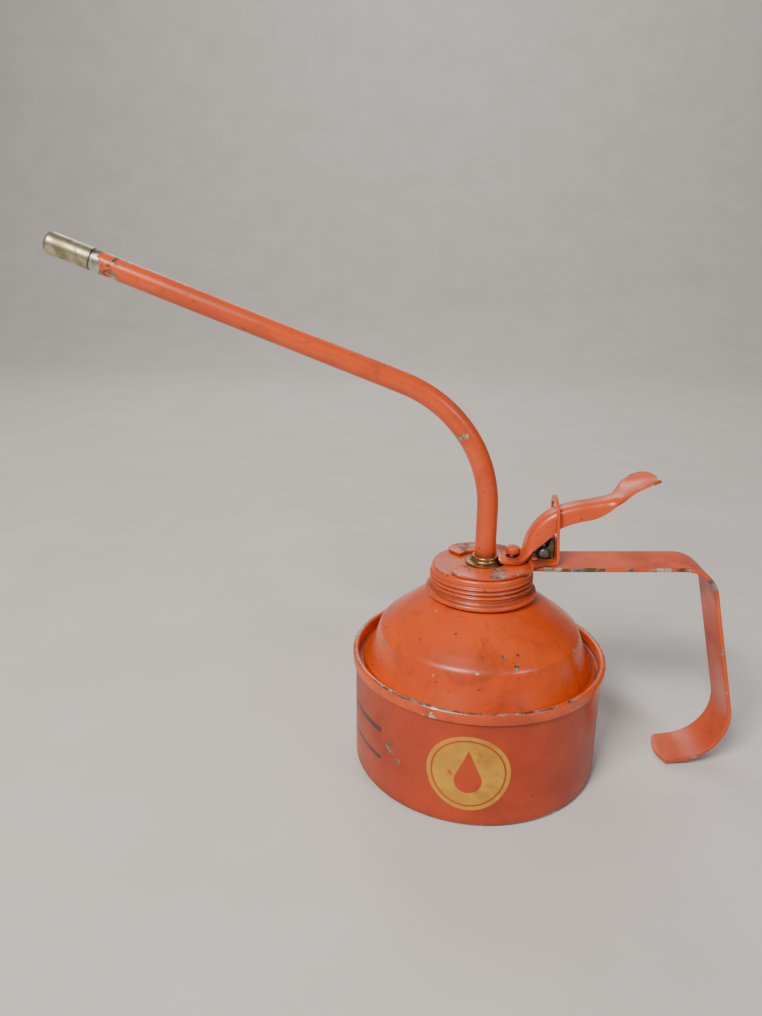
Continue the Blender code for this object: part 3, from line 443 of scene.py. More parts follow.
def worn_paint(name, colour, deep, gloss=0.30, printed=None):
    """Old enamel: mottled colour, fine specks, dirt and painted shade where marked, and chips down to metal
    where worn.
    """
    s = Shader(name)
    wear, dirt_and_shade = s.mark("wear"), s.mark("dirt_and_shade")
    mottle = s.noise(34, 5, 0.6, 0.4)
    cloud = s.noise(9, 3, 0.5, 0.3)
    paint = s.mix(s.step(mottle, 0.35, 0.70), colour, deep)
    paint = s.mix(s.step(cloud, 0.40, 0.75, 0.0, 0.35), paint, tuple(c * 0.72 for c in colour))
    if printed:
        paint = printed(s, paint)

    grime = s.step(s.noise(70, 6, 0.65, 0.8), 0.50, 0.72, 0.0, 0.42)
    paint = s.mix(grime, paint, (0.16, 0.035, 0.012))
    specks = s.step(s.noise(430, 3, 0.5, 0.3), 0.700, 0.725)
    paint = s.mix(s.math("MULTIPLY", specks, 0.75), paint, (0.045, 0.016, 0.010))

    ragged = s.noise(310, 7, 0.66, 0.9)
    broad = s.noise(95, 5, 0.6, 0.7)
    edge = s.math("ADD", s.math("MULTIPLY", ragged, 0.42), s.math("MULTIPLY", broad, 0.58))
    level = s.math("ADD", s.math("MULTIPLY", wear, 0.44), edge)
    chipped = s.step(level, 0.785, 0.797)
    lip = s.step(level, 0.760, 0.785)

    metal = s.mix(s.step(s.noise(150, 6, 0.6, 0.5), 0.38, 0.62), (0.12, 0.118, 0.095), (0.58, 0.55, 0.46))
    metal = s.mix(s.step(s.noise(160, 4, 0.6, 0.2), 0.47, 0.60), metal, (0.15, 0.085, 0.040))
    paint = s.mix(s.math("MULTIPLY", lip, 0.55), paint, tuple(min(1, c * 0.55 + 0.05) for c in colour))
    surface = s.mix(chipped, paint, metal)
    # Where the dirt and painted shade mark is high, the paint darkens to near black and gets rougher.
    grime_and_shade = s.math("MULTIPLY", dirt_and_shade, s.step(s.noise(180, 6, 0.6, 0.6), 0.25, 0.62, 0.45, 1.0))
    surface = s.mix(grime_and_shade, surface, (0.030, 0.022, 0.014))

    rough = s.step(mottle, 0.3, 0.75, gloss - 0.05, gloss + 0.13)
    rough = s.math("ADD", rough, s.math("MULTIPLY", grime_and_shade, 0.30))
    scuffs = s.step(s.noise(240, 5, 0.7, 1.5, (1.0, 1.0, 0.22)), 0.60, 0.72, 0.0, 0.14)
    rough = s.math("ADD", rough, scuffs)
    rough = s.math("ADD", rough, s.math("MULTIPLY", chipped, 0.10))
    peel = s.bump(s.noise(420, 3, 0.5), 0.00004, 0.35)
    flow = s.bump(s.noise(60, 3, 0.5, 0.2), 0.00018, 0.45, peel)
    relief = s.bump(s.math("SUBTRACT", 1.0, chipped), 0.00012, 0.9, flow)
    s.set(Base_Color=surface, Roughness=rough, Metallic=s.math("MULTIPLY", chipped, 0.75), Normal=relief)
    s.bsdf.inputs["Coat Weight"].default_value = 0.10
    s.bsdf.inputs["Coat Roughness"].default_value = 0.18
    return s.material


def old_metal(name, dark, light, rough=0.38, grain=(1.0, 1.0, 1.0), stain=(0.10, 0.07, 0.035)):
    """Bare metal with a dull, patchy film, fine grain and stains."""
    s = Shader(name)
    patch = s.noise(140, 6, 0.62, 0.6)
    colour = s.mix(s.step(patch, 0.34, 0.66), dark, light)
    stains = s.step(s.noise(75, 5, 0.65, 0.9), 0.55, 0.72, 0.0, 0.65)
    colour = s.mix(stains, colour, stain)
    # Darkened to near black where the dirt and painted shade mark is high.
    colour = s.mix(s.math("MULTIPLY", s.mark("dirt_and_shade"), 0.85), colour, (0.025, 0.020, 0.013))
    scratch = s.noise(900, 4, 0.7, 0.3, grain)
    roughness = s.step(patch, 0.3, 0.7, rough + 0.14, rough - 0.06)
    normal = s.bump(scratch, 0.00003, 0.5, s.bump(patch, 0.00006, 0.4))
    s.set(Base_Color=colour, Roughness=roughness, Metallic=0.9, Normal=normal)
    return s.material


def fibrous(name, dark, light, scale, rough):
    """Cork and leather for the hidden seals."""
    s = Shader(name)
    grains = s.noise(scale, 7, 0.7, 0.4)
    s.set(Base_Color=s.mix(s.step(grains, 0.35, 0.65), dark, light), Roughness=rough, Metallic=0.0)
    s.set(Normal=s.bump(grains, 0.00012, 0.8))
    return s.material


BADGE_ANGLE = math.radians(-97.1)
BADGE_Z = 22.4 * MM
BADGE_R = 15.2 * MM
BADGE_YELLOW = (0.60, 0.30, 0.020)


def badge_print(s, paint):
    """A plain yellow disc with an oil drop in it, and two plain dark bars further round the drum."""
    x, y, z = s.axes()
    angle = s.math("ARCTAN2", y, x)
    u = s.math("MULTIPLY", s.math("SUBTRACT", angle, BADGE_ANGLE), DRUM_R)
    v = s.math("SUBTRACT", z, BADGE_Z)
    soft = 0.12 * MM

    def disc(cu, cv, radius):
        du, dv = s.math("SUBTRACT", u, cu), s.math("SUBTRACT", v, cv)
        away = s.math("SQRT", s.math("ADD", s.math("MULTIPLY", du, du), s.math("MULTIPLY", dv, dv)))
        return s.step(away, radius - soft, radius + soft, 1.0, 0.0)

    def box(low_u, high_u, low_v, high_v):
        sides = [s.step(u, low_u - soft, low_u + soft), s.step(u, high_u - soft, high_u + soft, 1.0, 0.0)]
        ends = [s.step(v, low_v - soft, low_v + soft), s.step(v, high_v - soft, high_v + soft, 1.0, 0.0)]
        return s.math("MULTIPLY", s.math("MULTIPLY", *sides), s.math("MULTIPLY", *ends))

    drop_r, drop_v, tip_v = 5.0 * MM, -3.0 * MM, 9.6 * MM
    reach = tip_v - drop_v
    lean = drop_r / math.sqrt(reach**2 - drop_r**2)
    half = s.math("MULTIPLY", s.math("SUBTRACT", tip_v, v), lean)
    inside = s.math("SUBTRACT", half, s.math("ABSOLUTE", u))
    shoulder_v = drop_v + drop_r**2 / reach
    spire = s.math("MULTIPLY", s.step(inside, -soft, soft), s.step(v, shoulder_v - soft, shoulder_v + soft))
    drop = s.math("MAXIMUM", disc(0.0, drop_v, drop_r), spire)
    ring = s.math("SUBTRACT", disc(0.0, 0.0, BADGE_R - 1.5 * MM), disc(0.0, 0.0, BADGE_R - 2.2 * MM))
    yellow = s.math("SUBTRACT", disc(0.0, 0.0, BADGE_R), s.math("MAXIMUM", drop, ring))
    rubbed = s.step(s.noise(230, 6, 0.7, 0.8), 0.30, 0.42)
    yellow = s.math("MULTIPLY", s.math("MAXIMUM", yellow, 0.0), s.math("MULTIPLY", rubbed, 0.93))
    patchy = s.step(s.noise(110, 4, 0.6), 0.35, 0.65)
    shade = s.mix(patchy, BADGE_YELLOW, tuple(c * 0.78 for c in BADGE_YELLOW))
    paint = s.mix(yellow, paint, shade)

    left, right = -61 * MM, -36.5 * MM
    bars = s.math("MAXIMUM", box(left, right, 4.0 * MM, 6.4 * MM), box(left, right, -7.6 * MM, -5.8 * MM))
    bars = s.math("MULTIPLY", bars, s.step(s.noise(110, 5, 0.6, 0.6), 0.27, 0.37))
    return s.mix(s.math("MULTIPLY", bars, 0.9), paint, (0.045, 0.018, 0.016))


ORANGE = (0.68, 0.080, 0.010)
ORANGE_DEEP = (0.54, 0.055, 0.007)
DRUM_ORANGE = (0.47, 0.042, 0.005)
DRUM_DEEP = (0.35, 0.028, 0.003)

drum_paint = worn_paint("worn_drum_paint", DRUM_ORANGE, DRUM_DEEP, 0.40, badge_print)
dome_paint = worn_paint("worn_dome_paint", ORANGE, ORANGE_DEEP, 0.27)
trim_paint = worn_paint("worn_trim_paint", ORANGE, ORANGE_DEEP, 0.33)
steel = old_metal("oily_steel", (0.10, 0.10, 0.085), (0.40, 0.39, 0.35), 0.36)
collar_brass = old_metal(
    "painted_over_brass", (0.24, 0.13, 0.05), (0.62, 0.40, 0.17), 0.30, stain=(0.50, 0.085, 0.015))
greasy_steel = old_metal(
    "greasy_steel", (0.045, 0.050, 0.038), (0.17, 0.18, 0.14), 0.34, stain=(0.26, 0.24, 0.18))
brass = old_metal("aged_brass", (0.20, 0.15, 0.065), (0.52, 0.38, 0.17), 0.38)
nozzle_metal = old_metal(
    "rubbed_nozzle_metal", (0.24, 0.20, 0.12), (0.58, 0.53, 0.37), 0.34, stain=(0.30, 0.15, 0.06))
cork = fibrous("pressed_cork", (0.16, 0.09, 0.045), (0.46, 0.31, 0.18), 900, 0.9)
leather = fibrous("oiled_leather", (0.07, 0.035, 0.02), (0.19, 0.10, 0.05), 700, 0.62)

# ---------------------------------------------------------------- can


def threaded(work, low, high, inner_r, height, turn=0.0):
    """Pushes the points of a wall outwards into a rounded right-hand thread."""
    for vert in work.verts:
        x, y, z = vert.co
        radius = math.hypot(x, y)
        if radius < inner_r or not low <= z <= high:
            continue
        fade = min(1.0, (z - low) / THREAD_PITCH, (high - z) / THREAD_PITCH)
        phase = 2 * math.pi * z / THREAD_PITCH - math.atan2(y, x) + turn
        grow = height * fade * (0.5 + 0.5 * math.cos(phase))
        vert.co.x += x / radius * grow
        vert.co.y += y / radius * grow
    return work


def make_drum():
    """The drum with its pressed base ring, rounded corner and wall."""
    wall_top = drum_high[2]
    outside = rounded([
        (0, 0.9 * MM),
        (0.0415, 0.9 * MM, 1.2 * MM),
        (0.0432, 0.0, 1.0 * MM),
        (DRUM_R, 0, 1.8 * MM),
        (DRUM_R, wall_top),
    ], 8)
    outside = divided(outside, 1.6 * MM)
    ring = outside + offset(outside, SHEET)[::-1]

    def marks(p):
        around = math.degrees(math.atan2(p.y, p.x))
        worn = 0.60 * near(p.z, 0.0006, 0.0016) + 0.30 * near(p.z, wall_top, 0.003)
        worn += 0.38 * near(around, -132, 24) * near(p.z, 0.024, 0.026) + 0.30 * near(around, 90, 70)
        worn += 0.30 * near(around, -48, 12) * near(p.z, 0.0085, 0.007)
        worn += 0.10
        dirtied_and_shaded = 0.75 * near(p.z, wall_top, 0.0035) + 0.35 * near(p.z, 0.0, 0.004)
        dirtied_and_shaded += 0.22 * near(around, -150, 40)
        return worn, dirtied_and_shaded

    work = warped(turned(ring, 192), 0.14 * MM, 45, 3.1)
    finish_piece("can_drum", work, "can", ["drum_shell"], drum_paint, marks)


def make_dome():
    """The pressed shoulder: crown, wall, channel and the seam rolled over the drum's edge."""
    chuck_r = DRUM_R - SHEET - GAP - DOME_SHEET
    floor_z = SEAM_TOP - 4.75 * MM
    skirt_z = SEAM_TOP - 4.35 * MM
    hook_r = DRUM_R + GAP
    hook_z = SEAM_TOP - SEAM_ROUND + GAP / 2
    body = rounded([
        (DOME_EDGE_R, DOME_EDGE_Z),
        (CROWN_R, CROWN_Z, 0.120),
        (0.0391, 0.0573, 0.0045),
        (0.0416, 0.0502, 0.0200),
        (0.0453, floor_z, 0.0018),
        (chuck_r, floor_z, 0.0008),
        (chuck_r, SEAM_TOP - SEAM_ROUND),
    ], 5)
    seam = rounded([
        (chuck_r, SEAM_TOP - SEAM_ROUND),
        (chuck_r, SEAM_TOP, SEAM_ROUND),
        (SEAM_R, SEAM_TOP, SEAM_ROUND),
        (SEAM_R, skirt_z, 0.5 * MM),
        (hook_r, skirt_z),
        (hook_r, hook_z),
        (chuck_r + DOME_SHEET, hook_z),
    ], 10)
    body = divided(body, 0.7 * MM)
    under = offset(body, -DOME_SHEET)[::-1][1:]
    # Chips knocked in the dome: degrees round it, radius, height and reach, in millimetres.
    knocks = [
        (-80, 34.5, 61.5, 1.7), (-71, 34.5, 61.5, 1.0), (-74, 38.0, 58.5, 1.5), (-80, 39.0, 58.0, 1.2),
        (-62, 40.0, 55.5, 1.2), (-63, 41.0, 54.0, 1.0), (-63, 41.5, 52.0, 1.0), (-64, 42.0, 50.0, 1.1),
        (-95, 39.5, 57.0, 1.2), (-90, 43.5, 46.5, 1.0), (-140, 23.0, 69.5, 1.2), (-118, 40.5, 54.0, 0.9),
        (-30, 39.5, 57.0, 1.5), (35, 39.0, 57.5, 2.2), (118, 38.5, 58.0, 2.0), (168, 36.0, 60.0, 1.4),
        (70, 30.5, 64.5, 1.3), (-160, 40.0, 55.5, 1.6), (150, 41.5, 52.0, 1.2), (-45, 28.5, 66.0, 0.9),
    ]
    chips = []
    for degrees, radius, height, reach in knocks:
        turn = math.radians(degrees)
        centre = (radius * math.cos(turn) * MM, radius * math.sin(turn) * MM, height * MM)
        chips.append((centre, 1.25 * reach * MM))

    def marks(p):
        radius = math.hypot(p.x, p.y)
        around = math.degrees(math.atan2(p.y, p.x))
        rim = near(p.z, SEAM_TOP, 0.0009) * near(radius, SEAM_R - 0.0006, 0.0019)
        worn = rim * (0.58 + 0.20 * near(around, -125, 30) + 0.12 * near(around, -90, 60))
        skirt = 0.34 * near(p.z, SEAM_TOP - 0.004, 0.0012) + 0.22 * near(around, -120, 50)
        worn += near(radius, SEAM_R, 0.0004) * skirt
        worn += 0.10 + 0.14 * near(radius, 0.0385, 0.003) * near(p.z, 0.0585, 0.002)
        worn += sum(1.2 * spot(p, centre, reach) for centre, reach in chips)
        # Darker in the channel, most on its right; round the neck, under the cap's curled edge, the dome is
        # darkened as dirt and painted shade; the skirt's lower edge is dirty.
        channel = near(p.z, floor_z, 0.0022) * near(radius, 0.0467, 0.0020)
        dirtied_and_shaded = channel * (0.45 + 0.55 * near(around, -20, 60)) + 0.75 * near(radius, 0.0185, 0.0026)
        dirtied_and_shaded += 0.55 * near(p.z, SEAM_TOP - 0.0043, 0.0006) * near(radius, SEAM_R, 0.0012)
        return worn, dirtied_and_shaded

    work = warped(turned(body + seam[1:] + under, 256), 0.10 * MM, 38, 7.7)
    finish_piece("can_dome", work, "can", ["shoulder_dome"], dome_paint, marks, sharp=50)


def make_neck():
    """The threaded neck under the cap, flared out below the dome's edge."""
    root, bore, wall = 17.7 * MM, 17.1 * MM, 0.6 * MM
    slope = (DOME_EDGE_Z - CROWN_Z) / (CROWN_R - DOME_EDGE_R)
    flare = 3.5 * MM
    under_z = DOME_EDGE_Z - DOME_SHEET - GAP - (root + 0.4 * MM - DOME_EDGE_R) * slope
    top = neck_high[2]
    outline = [
        (root, under_z), (root, top - 0.3 * MM), (root - 0.2 * MM, top), (root - 0.4 * MM, top),
        (bore, top - 0.2 * MM), (bore, under_z - wall),
        (root + flare, under_z - wall - flare * slope), (root + flare, under_z - flare * slope),
    ]
    work = turned(outline, 128, spacing=0.2 * MM)
    threaded(work, DOME_EDGE_Z + 0.6 * MM, top, root - GAP, 0.65 * MM)

    def marks(p):
        return 0.30 + 0.35 * near(math.hypot(p.x, p.y), 0.0184, 0.0006), 0.55

    finish_piece("can_neck", work, "can", ["threaded_neck"], trim_paint, marks)


def make_washer():
    """The cork ring between the neck and the cap."""
    low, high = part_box("sealing_washer")
    inner, outer, edge = 17.2 * MM, 18.4 * MM, 0.1 * MM
    ring = [(inner, low.z), (outer - edge, low.z), (outer, low.z + edge), (outer, high.z), (inner, high.z)]
    finish_piece("cap_washer", turned(ring, 128), "washer", ["sealing_washer"], cork)


# ---------------------------------------------------------------- cap


def make_cap():
    """The screw cap: flat top, rolled thread and curled lower edge."""
    top, edge, cap_r, sheet = CAP_TOP, 1.5 * MM, 19.3 * MM, 0.8 * MM
    bead_r, bead_mid, bead_z = 1.1 * MM, 20.35 * MM, 72.95 * MM
    inner_r, thread_mid = 18.7 * MM, 78 * MM
    low_thread, high_thread = bead_z + 1.7 * bead_r, top - edge
    wall = divided([(cap_r, high_thread), (cap_r, low_thread)], THREAD_PITCH / 11)
    outline = [(0, top)] + arc((cap_r - edge, top - edge), edge, 90, 0, 8) + wall[1:]
    outline += arc((bead_mid, bead_z), bead_r, 110, -110, 18)
    outline += [(inner_r, bead_z - bead_r / 2), (inner_r, top - sheet), (0, top - sheet)]
    work = threaded(turned(outline, 144), low_thread, high_thread, cap_r - GAP / 2, 0.7 * MM)

    def marks(p):
        radius = math.hypot(p.x, p.y)
        around = math.degrees(math.atan2(p.y, p.x))
        rim = near(radius, cap_r - 0.3 * MM, 1.1 * MM) * near(p.z, top, 1.1 * MM)
        worn = 0.10 + rim * (0.42 + 0.18 * near(around, -95, 50))
        worn += 0.34 * near(radius, 20.0 * MM, 0.5 * MM) * near(p.z, thread_mid, 4 * MM)
        worn += 0.30 * near(p.z, bead_z, 0.9 * MM) * near(radius, 21.45 * MM, 0.5 * MM)
        # Darker down the thread's grooves; the gap between the thread and the curled edge is darkened as
        # painted shade; the top face gets dirt.
        groove = near(radius, cap_r, 0.45 * MM) * near(p.z, thread_mid, 4.4 * MM)
        dirtied_and_shaded = 0.95 * groove + 0.6 * near(p.z, bead_z + 1.5 * MM, 1.2 * MM) + 0.30 * near(p.z, top, 0.2 * MM)
        return worn, dirtied_and_shaded

    cap = finish_piece(
        "pump_cap", work, "pump_cap", ["screw_cap"], trim_paint, marks, sharp=50)
    low, high = top - 2 * MM, top + 2 * MM
    cut(cap, post(4.3 * MM, low, high, COLLAR_X), post(ROD_R + GAP, low, high, ROD_X))


def taper(x):
    """Half the bracket's width at x, between the arms and the upright."""
    stations = [(0.0134, 0.0134), (0.0168, 0.0118), (0.0200, 0.0098), (0.0236, 0.0082), (0.0273, 0.0075)]
    for (x0, y0), (x1, y1) in zip(stations, stations[1:]):
        if x <= x1:
            return y0 + (y1 - y0) * max(0.0, x - x0) / (x1 - x0)
    return stations[-1][1]


def bracket_marks(p):
    """Wear on the bracket's rims, on its far arms and up its posts; darker on the step under the lever and
    along the plate's lower edge.
    """
    radius = math.hypot(p.x, p.y)
    around = math.degrees(math.atan2(p.y, p.x))
    on_top = near(p.z, 84.6 * MM, 1 * MM)
    worn = 0.16 + 0.40 * near(radius, BRACKET_R, 0.9 * MM) * on_top
    worn += 0.38 * near(radius, BRACKET_BORE, 0.8 * MM) * on_top
    worn += 0.35 * near(abs(around), 125, 16) * near(p.z, 84.3 * MM, 1 * MM)
    worn += 0.35 * near(p.z, UPRIGHT_TOP, 2.5 * MM)
    worn += 0.30 * near(abs(p.y), UPRIGHT_HALF, 0.7 * MM) * near(p.z, 98 * MM, 13 * MM)
    dirtied_and_shaded = 0.80 * near(p.x, 21 * MM, 7 * MM) * near(p.z, 86.5 * MM, 4 * MM)
    dirtied_and_shaded += 0.5 * near(p.z, 83.7 * MM, 0.4 * MM)
    return worn, dirtied_and_shaded


def make_bracket():
    """The horseshoe on the cap, the step over the strap with its slotted upright, and the pin's cheeks."""
    low = CAP_TOP + GAP
    plate_top = low + PLATE
    tread_top = low + STRAP_SHEET + GAP + PLATE
    sunk = 0.03 * MM
    arms = arc((0, 0), BRACKET_R, 123, 46, 30)
    mouth = [(-8.4 * MM, 5.8 * MM), (-11.8 * MM, 9.8 * MM), (-12.4 * MM, 12.6 * MM)]
    inner = arc((0, 0), BRACKET_BORE, 0, 138, 36)
    half = inner + mouth + arms + [(x, taper(x)) for x in (0.0136, 0.0168)]
    outline = half + [(x, -y) for x, y in half[::-1] if y > 1e-9]
    horseshoe = finish_piece(
        "bracket_horseshoe", prism(outline, low, plate_top), "pump_cap", ["lever_bracket"],
        trim_paint)
    horseshoe.data.shade_flat()
    cut(horseshoe, post(ROD_R + 2 * GAP, low - MM, plate_top + MM, ROD_X))
    soften(horseshoe, 0.28 * MM, 4, bracket_marks)

    path = rounded([
        (0.0141, plate_top - sunk),
        (0.0168, plate_top - sunk, 0.7 * MM),
        (0.0174, tread_top, 0.9 * MM),
        (0.0273, tread_top, 1.3 * MM),
        (0.0258, UPRIGHT_TOP),
    ], 10)
    path = divided(path, 0.55 * MM)
    round_r = 7.2 * MM
    rows = []
    for x, z in path:
        wide = taper(x) - sunk if z < tread_top + MM else UPRIGHT_HALF
        above = z - (UPRIGHT_TOP - round_r)
        if above > 0:
            wide = 0.3 * MM + math.sqrt(max(0.0, round_r**2 - above**2))
        rows.append([(x, wide * share / 8, z) for share in range(-8, 9)])
    upright = finish_piece(
        "bracket_upright", grid(rows), "pump_cap", [], trim_paint, closed=False)
    modifier(upright, "SOLIDIFY", thickness=PLATE, offset=-1.0)
    settle(upright)
    slot_half, slot_low, slot_high = 5.5 * MM, 94.3 * MM, 108.2 * MM
    window = rounded([
        (0, slot_low), (slot_half, slot_low, 1.5 * MM), (slot_half, slot_high, 3 * MM),
        (-slot_half, slot_high, 3 * MM), (-slot_half, slot_low, 1.5 * MM), (0, slot_low),
    ], 8)[:-1]
    cut(upright, prism(window, 22 * MM, 32 * MM, "X"))
    soften(upright, 0.22 * MM, 3, bracket_marks)

    eye, foot = 2.3 * MM, tread_top - 0.5 * MM
    shape = [(PIN_X - eye, foot), (0.0268, foot), (0.0265, 0.0950), (0.0258, 0.0952)]
    shape += arc((PIN_X, PIN_Z), eye, 62, 180, 24)
    for name, sides in (("front", (-3.4 * MM, -2.4 * MM)), ("back", (2.4 * MM, 3.4 * MM))):
        cheek = finish_piece(
            "bracket_cheek_" + name, prism(shape, *sides, "Y"), "pump_cap", [], greasy_steel)
        soften(cheek, 0.18 * MM, 3, bracket_marks)


def make_rivets():
    """The two low rivet heads on the bracket's step, with their shanks."""
    height, round_r, shank_r = 0.7 * MM, 0.5 * MM, 0.8 * MM
    for name in ("front", "back"):
        node = "handle_rivet_" + name
        low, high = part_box(node)
        x, y = (low.x + high.x) / 2, (low.y + high.y) / 2
        head_r, foot = (high.x - low.x) / 2, high.z - 3 * MM
        outline = [(0, foot), (shank_r, foot), (shank_r, high.z - height)]
        outline += arc((head_r - round_r, high.z - 0.55 * MM), round_r, -10, 75, 8) + [(0, high.z)]
        work = turned(outline, 40, x)
        bmesh.ops.translate(work, vec=(0, y, 0), verts=work.verts)
        finish_piece(
            "rivet_" + name, work, "pump_cap", [node], trim_paint, lambda p: (0.45, 0.35))


def make_strap():
    """The handle: a flat strap bent down behind the can, with a bowed tip."""
    top = CAP_TOP + GAP + STRAP_SHEET
    path = rounded([
        (0.0178, top),
        (0.0320, top, 0.060),
        (0.0860, 0.0867, 0.0139),
        (0.1052, 0.0060, 0.0207),
        (0.0776, 0.00085),
    ], 4)
    path = divided(path, 1.3 * MM)
    half = strap_high[1]
    end = Vector(path[-1])
    way = (end - Vector(path[-2])).normalized()
    rows = []
    for x, z in path:
        left = min(1.0, (Vector((x, z)) - end).length / (6 * MM))
        row = []
        for k in range(-10, 11):
            y = half * k / 10
            reach = 2.4 * MM * (1 - (y / half) ** 2) * (1 - left) ** 2
            row.append((x + way.x * reach, y, z + way.y * reach))
        rows.append(row)

    def marks(p):
        edge = near(abs(p.y), half, 0.9 * MM)
        along_top = 1.0 if p.z > 0.078 else 0.0
        beat = 0.5 + 0.5 * noise.noise(Vector((p.x * 190, p.y * 60, p.z * 190)))
        worn = 0.14 + edge * (0.30 + 0.46 * beat * along_top)
        worn += 0.22 * near(p.x, 0.0885, 0.010) * near(p.z, 0.084, 0.010) + 0.30 * near(p.z, 0.002, 0.004)
        worn += 0.20 * near(p.x, 0.040, 0.014) * edge
        # Painted shade where the strap runs under the bracket's step, and darker near the floor.
        dirtied_and_shaded = 0.50 * near(p.x, 0.020, 0.008) + 0.20 * near(p.z, 0.005, 0.008)
        return worn, dirtied_and_shaded

    strap = finish_piece(
        "handle", grid(rows), "pump_cap", ["handle_strap"], trim_paint, closed=False)
    modifier(strap, "SOLIDIFY", thickness=STRAP_SHEET, offset=-1.0)
    settle(strap)
    soften(strap, 0.45 * MM, 4, marks, 50)


# ---------------------------------------------------------------- spout

SPOUT_R = 4.0 * MM
BEND_R = 50.7 * MM
BEND = math.radians(69.16)
BEND_Z = 105.0 * MM
RUN = 133.75 * MM
NOZZLE = 17.0 * MM


def tube(stations, outer, inner, sides):
    """A hollow bmesh round a line of (place, direction), with both radii at each station."""
    rings = []
    for (place, way), radius in list(zip(stations, outer)) + list(zip(stations, inner))[::-1]:
        side = Vector((0, 1, 0))
        up = side.cross(way).normalized()
        rings.append([place + (side * math.cos(a) + up * math.sin(a)) * radius for a in all_round(sides)])
    work = swept(rings + [rings[0]], False)
    bmesh.ops.remove_doubles(work, verts=work.verts, dist=MERGE)
    return work


def on_bend(turn):
    """The place and direction on the bend, this far round it."""
    place = Vector((COLLAR_X - BEND_R * (1 - math.cos(turn)), 0, BEND_Z + BEND_R * math.sin(turn)))
    return place, Vector((-math.sin(turn), 0, math.cos(turn)))


def on_run(length):
    """The place and direction on the straight run, this far past the bend."""
    start, way = on_bend(BEND)
    return start + way * length, way


def spout_marks(p):
    """Wear along the spout: at the bend's inside, in patches, and strongly towards the tip."""
    tip, way = on_run(RUN)
    back = (tip - p).dot(way)
    up = Vector((-way.z, 0, way.x))
    side = (p - (tip - way * back)).dot(up) / SPOUT_R
    worn = 0.15 + 0.62 * near(back, 0.0172, 0.005) + 0.44 * near(back, 0.025, 0.013)
    worn += 0.20 * near(back, 0.030, 0.016) * abs(side)
    worn += 1.1 * spot(p, (0.0045, -0.0026, 0.1170), 0.0026)
    worn += 1.1 * spot(p, (0.0030, -0.0030, 0.1265), 0.0024)
    worn += 0.62 * spot(p, (-0.0088, -0.0020, 0.1335), 0.0058) + 0.30 * near(p.z, 0.0875, 0.002)
    worn += 0.34 * near(back, 0.062, 0.012) + 0.30 * near(back, 0.098, 0.010)
    dirtied_and_shaded = 0.75 * near(p.z, 0.0868, 0.0030) + 0.35 * near(back, 0.0172, 0.0012)
    return worn, dirtied_and_shaded


def make_spout():
    """The painted tube, the bare nozzle at its tip and the collar at its foot."""
    upright, low = Vector((0, 0, 1)), tube_low[2]
    end = RUN - NOZZLE
    stations = [(Vector((COLLAR_X, 0, low + (BEND_Z - low) * i / 14)), upright) for i in range(14)]
    stations += [on_bend(BEND * i / 60) for i in range(61)]
    stations += [on_run(end * i / 70) for i in range(1, 71)]
    outer = [SPOUT_R] * (len(stations) - 1) + [SPOUT_R - 0.25 * MM]
    work = tube(stations, outer, [SPOUT_R - 0.7 * MM] * len(stations), 56)
    finish_piece(
        "spout", work, "pump_cap", ["spout_tube"], trim_paint, spout_marks, sharp=50)

    bore, tip_r = SPOUT_R - 1.0 * MM, 1.9 * MM
    lengths = [end - 2.5 * MM, end + 0.12 * MM, end + 0.2 * MM, end + 0.4 * MM, end + 1.2 * MM]
    outer = [bore, bore, SPOUT_R - 0.2 * MM, SPOUT_R, SPOUT_R]
    for share in (0.3, 0.6, 0.85):
        lengths.append(end + 1.2 * MM + share * (NOZZLE - 3.2 * MM))
        outer.append(SPOUT_R - 0.04 * MM * share)
    for degrees in range(0, 91, 10):
        turn = math.radians(degrees)
        lengths.append(RUN - tip_r + tip_r * math.sin(turn))
        outer.append(SPOUT_R - tip_r * (1 - math.cos(turn)))
    inner = [bore - 0.7 * MM if length < RUN - 1.7 * MM else 1.0 * MM for length in lengths]
    nozzle = tube([on_run(length) for length in lengths], outer, inner, 56)

    def nozzle_marks(p):
        back = (on_run(RUN)[0] - p).dot(on_run(RUN)[1])
        return 0.3, 0.55 * near(back, NOZZLE, 1.2 * MM) + 0.35 * near(back, 0.0, 0.8 * MM)

    finish_piece(
        "spout_nozzle_tip", nozzle, "pump_cap", ["spout_nozzle"], nozzle_metal, nozzle_marks)

    foot = CAP_TOP + GAP
    hole, flange, ring, top = SPOUT_R + 0.15 * MM, 7.6 * MM, 5.1 * MM, foot + 3.0 * MM
    outline = rounded([
        (hole, foot), (flange, foot), (flange, foot + 0.8 * MM, 0.35 * MM),
        (ring + 0.6 * MM, foot + 0.95 * MM, 0.5 * MM), (ring, foot + 1.6 * MM, 0.4 * MM),
        (ring, top, 0.5 * MM), (hole, top),
    ], 10)

    def collar_marks(p):
        # The right side, beside the lever's foot, is darkened as a painted shadow; the step above the flange
        # is darkened too.
        return 0.4, 0.6 * near(p.z, foot + 0.9 * MM, 0.7 * MM) + 0.9 * near(p.x, 0.0085, 0.0050)

    finish_piece(
        "spout_foot_collar", turned(outline, 96, COLLAR_X), "pump_cap", ["spout_collar"],
        collar_brass, collar_marks, sharp=50)


# ---------------------------------------------------------------- lever and plunger

FOOT_Z, FOOT_HALF = 86.5 * MM, 6.4 * MM
PAD_HALF = 8.2 * MM
LEVER_HALF = 5.0 * MM
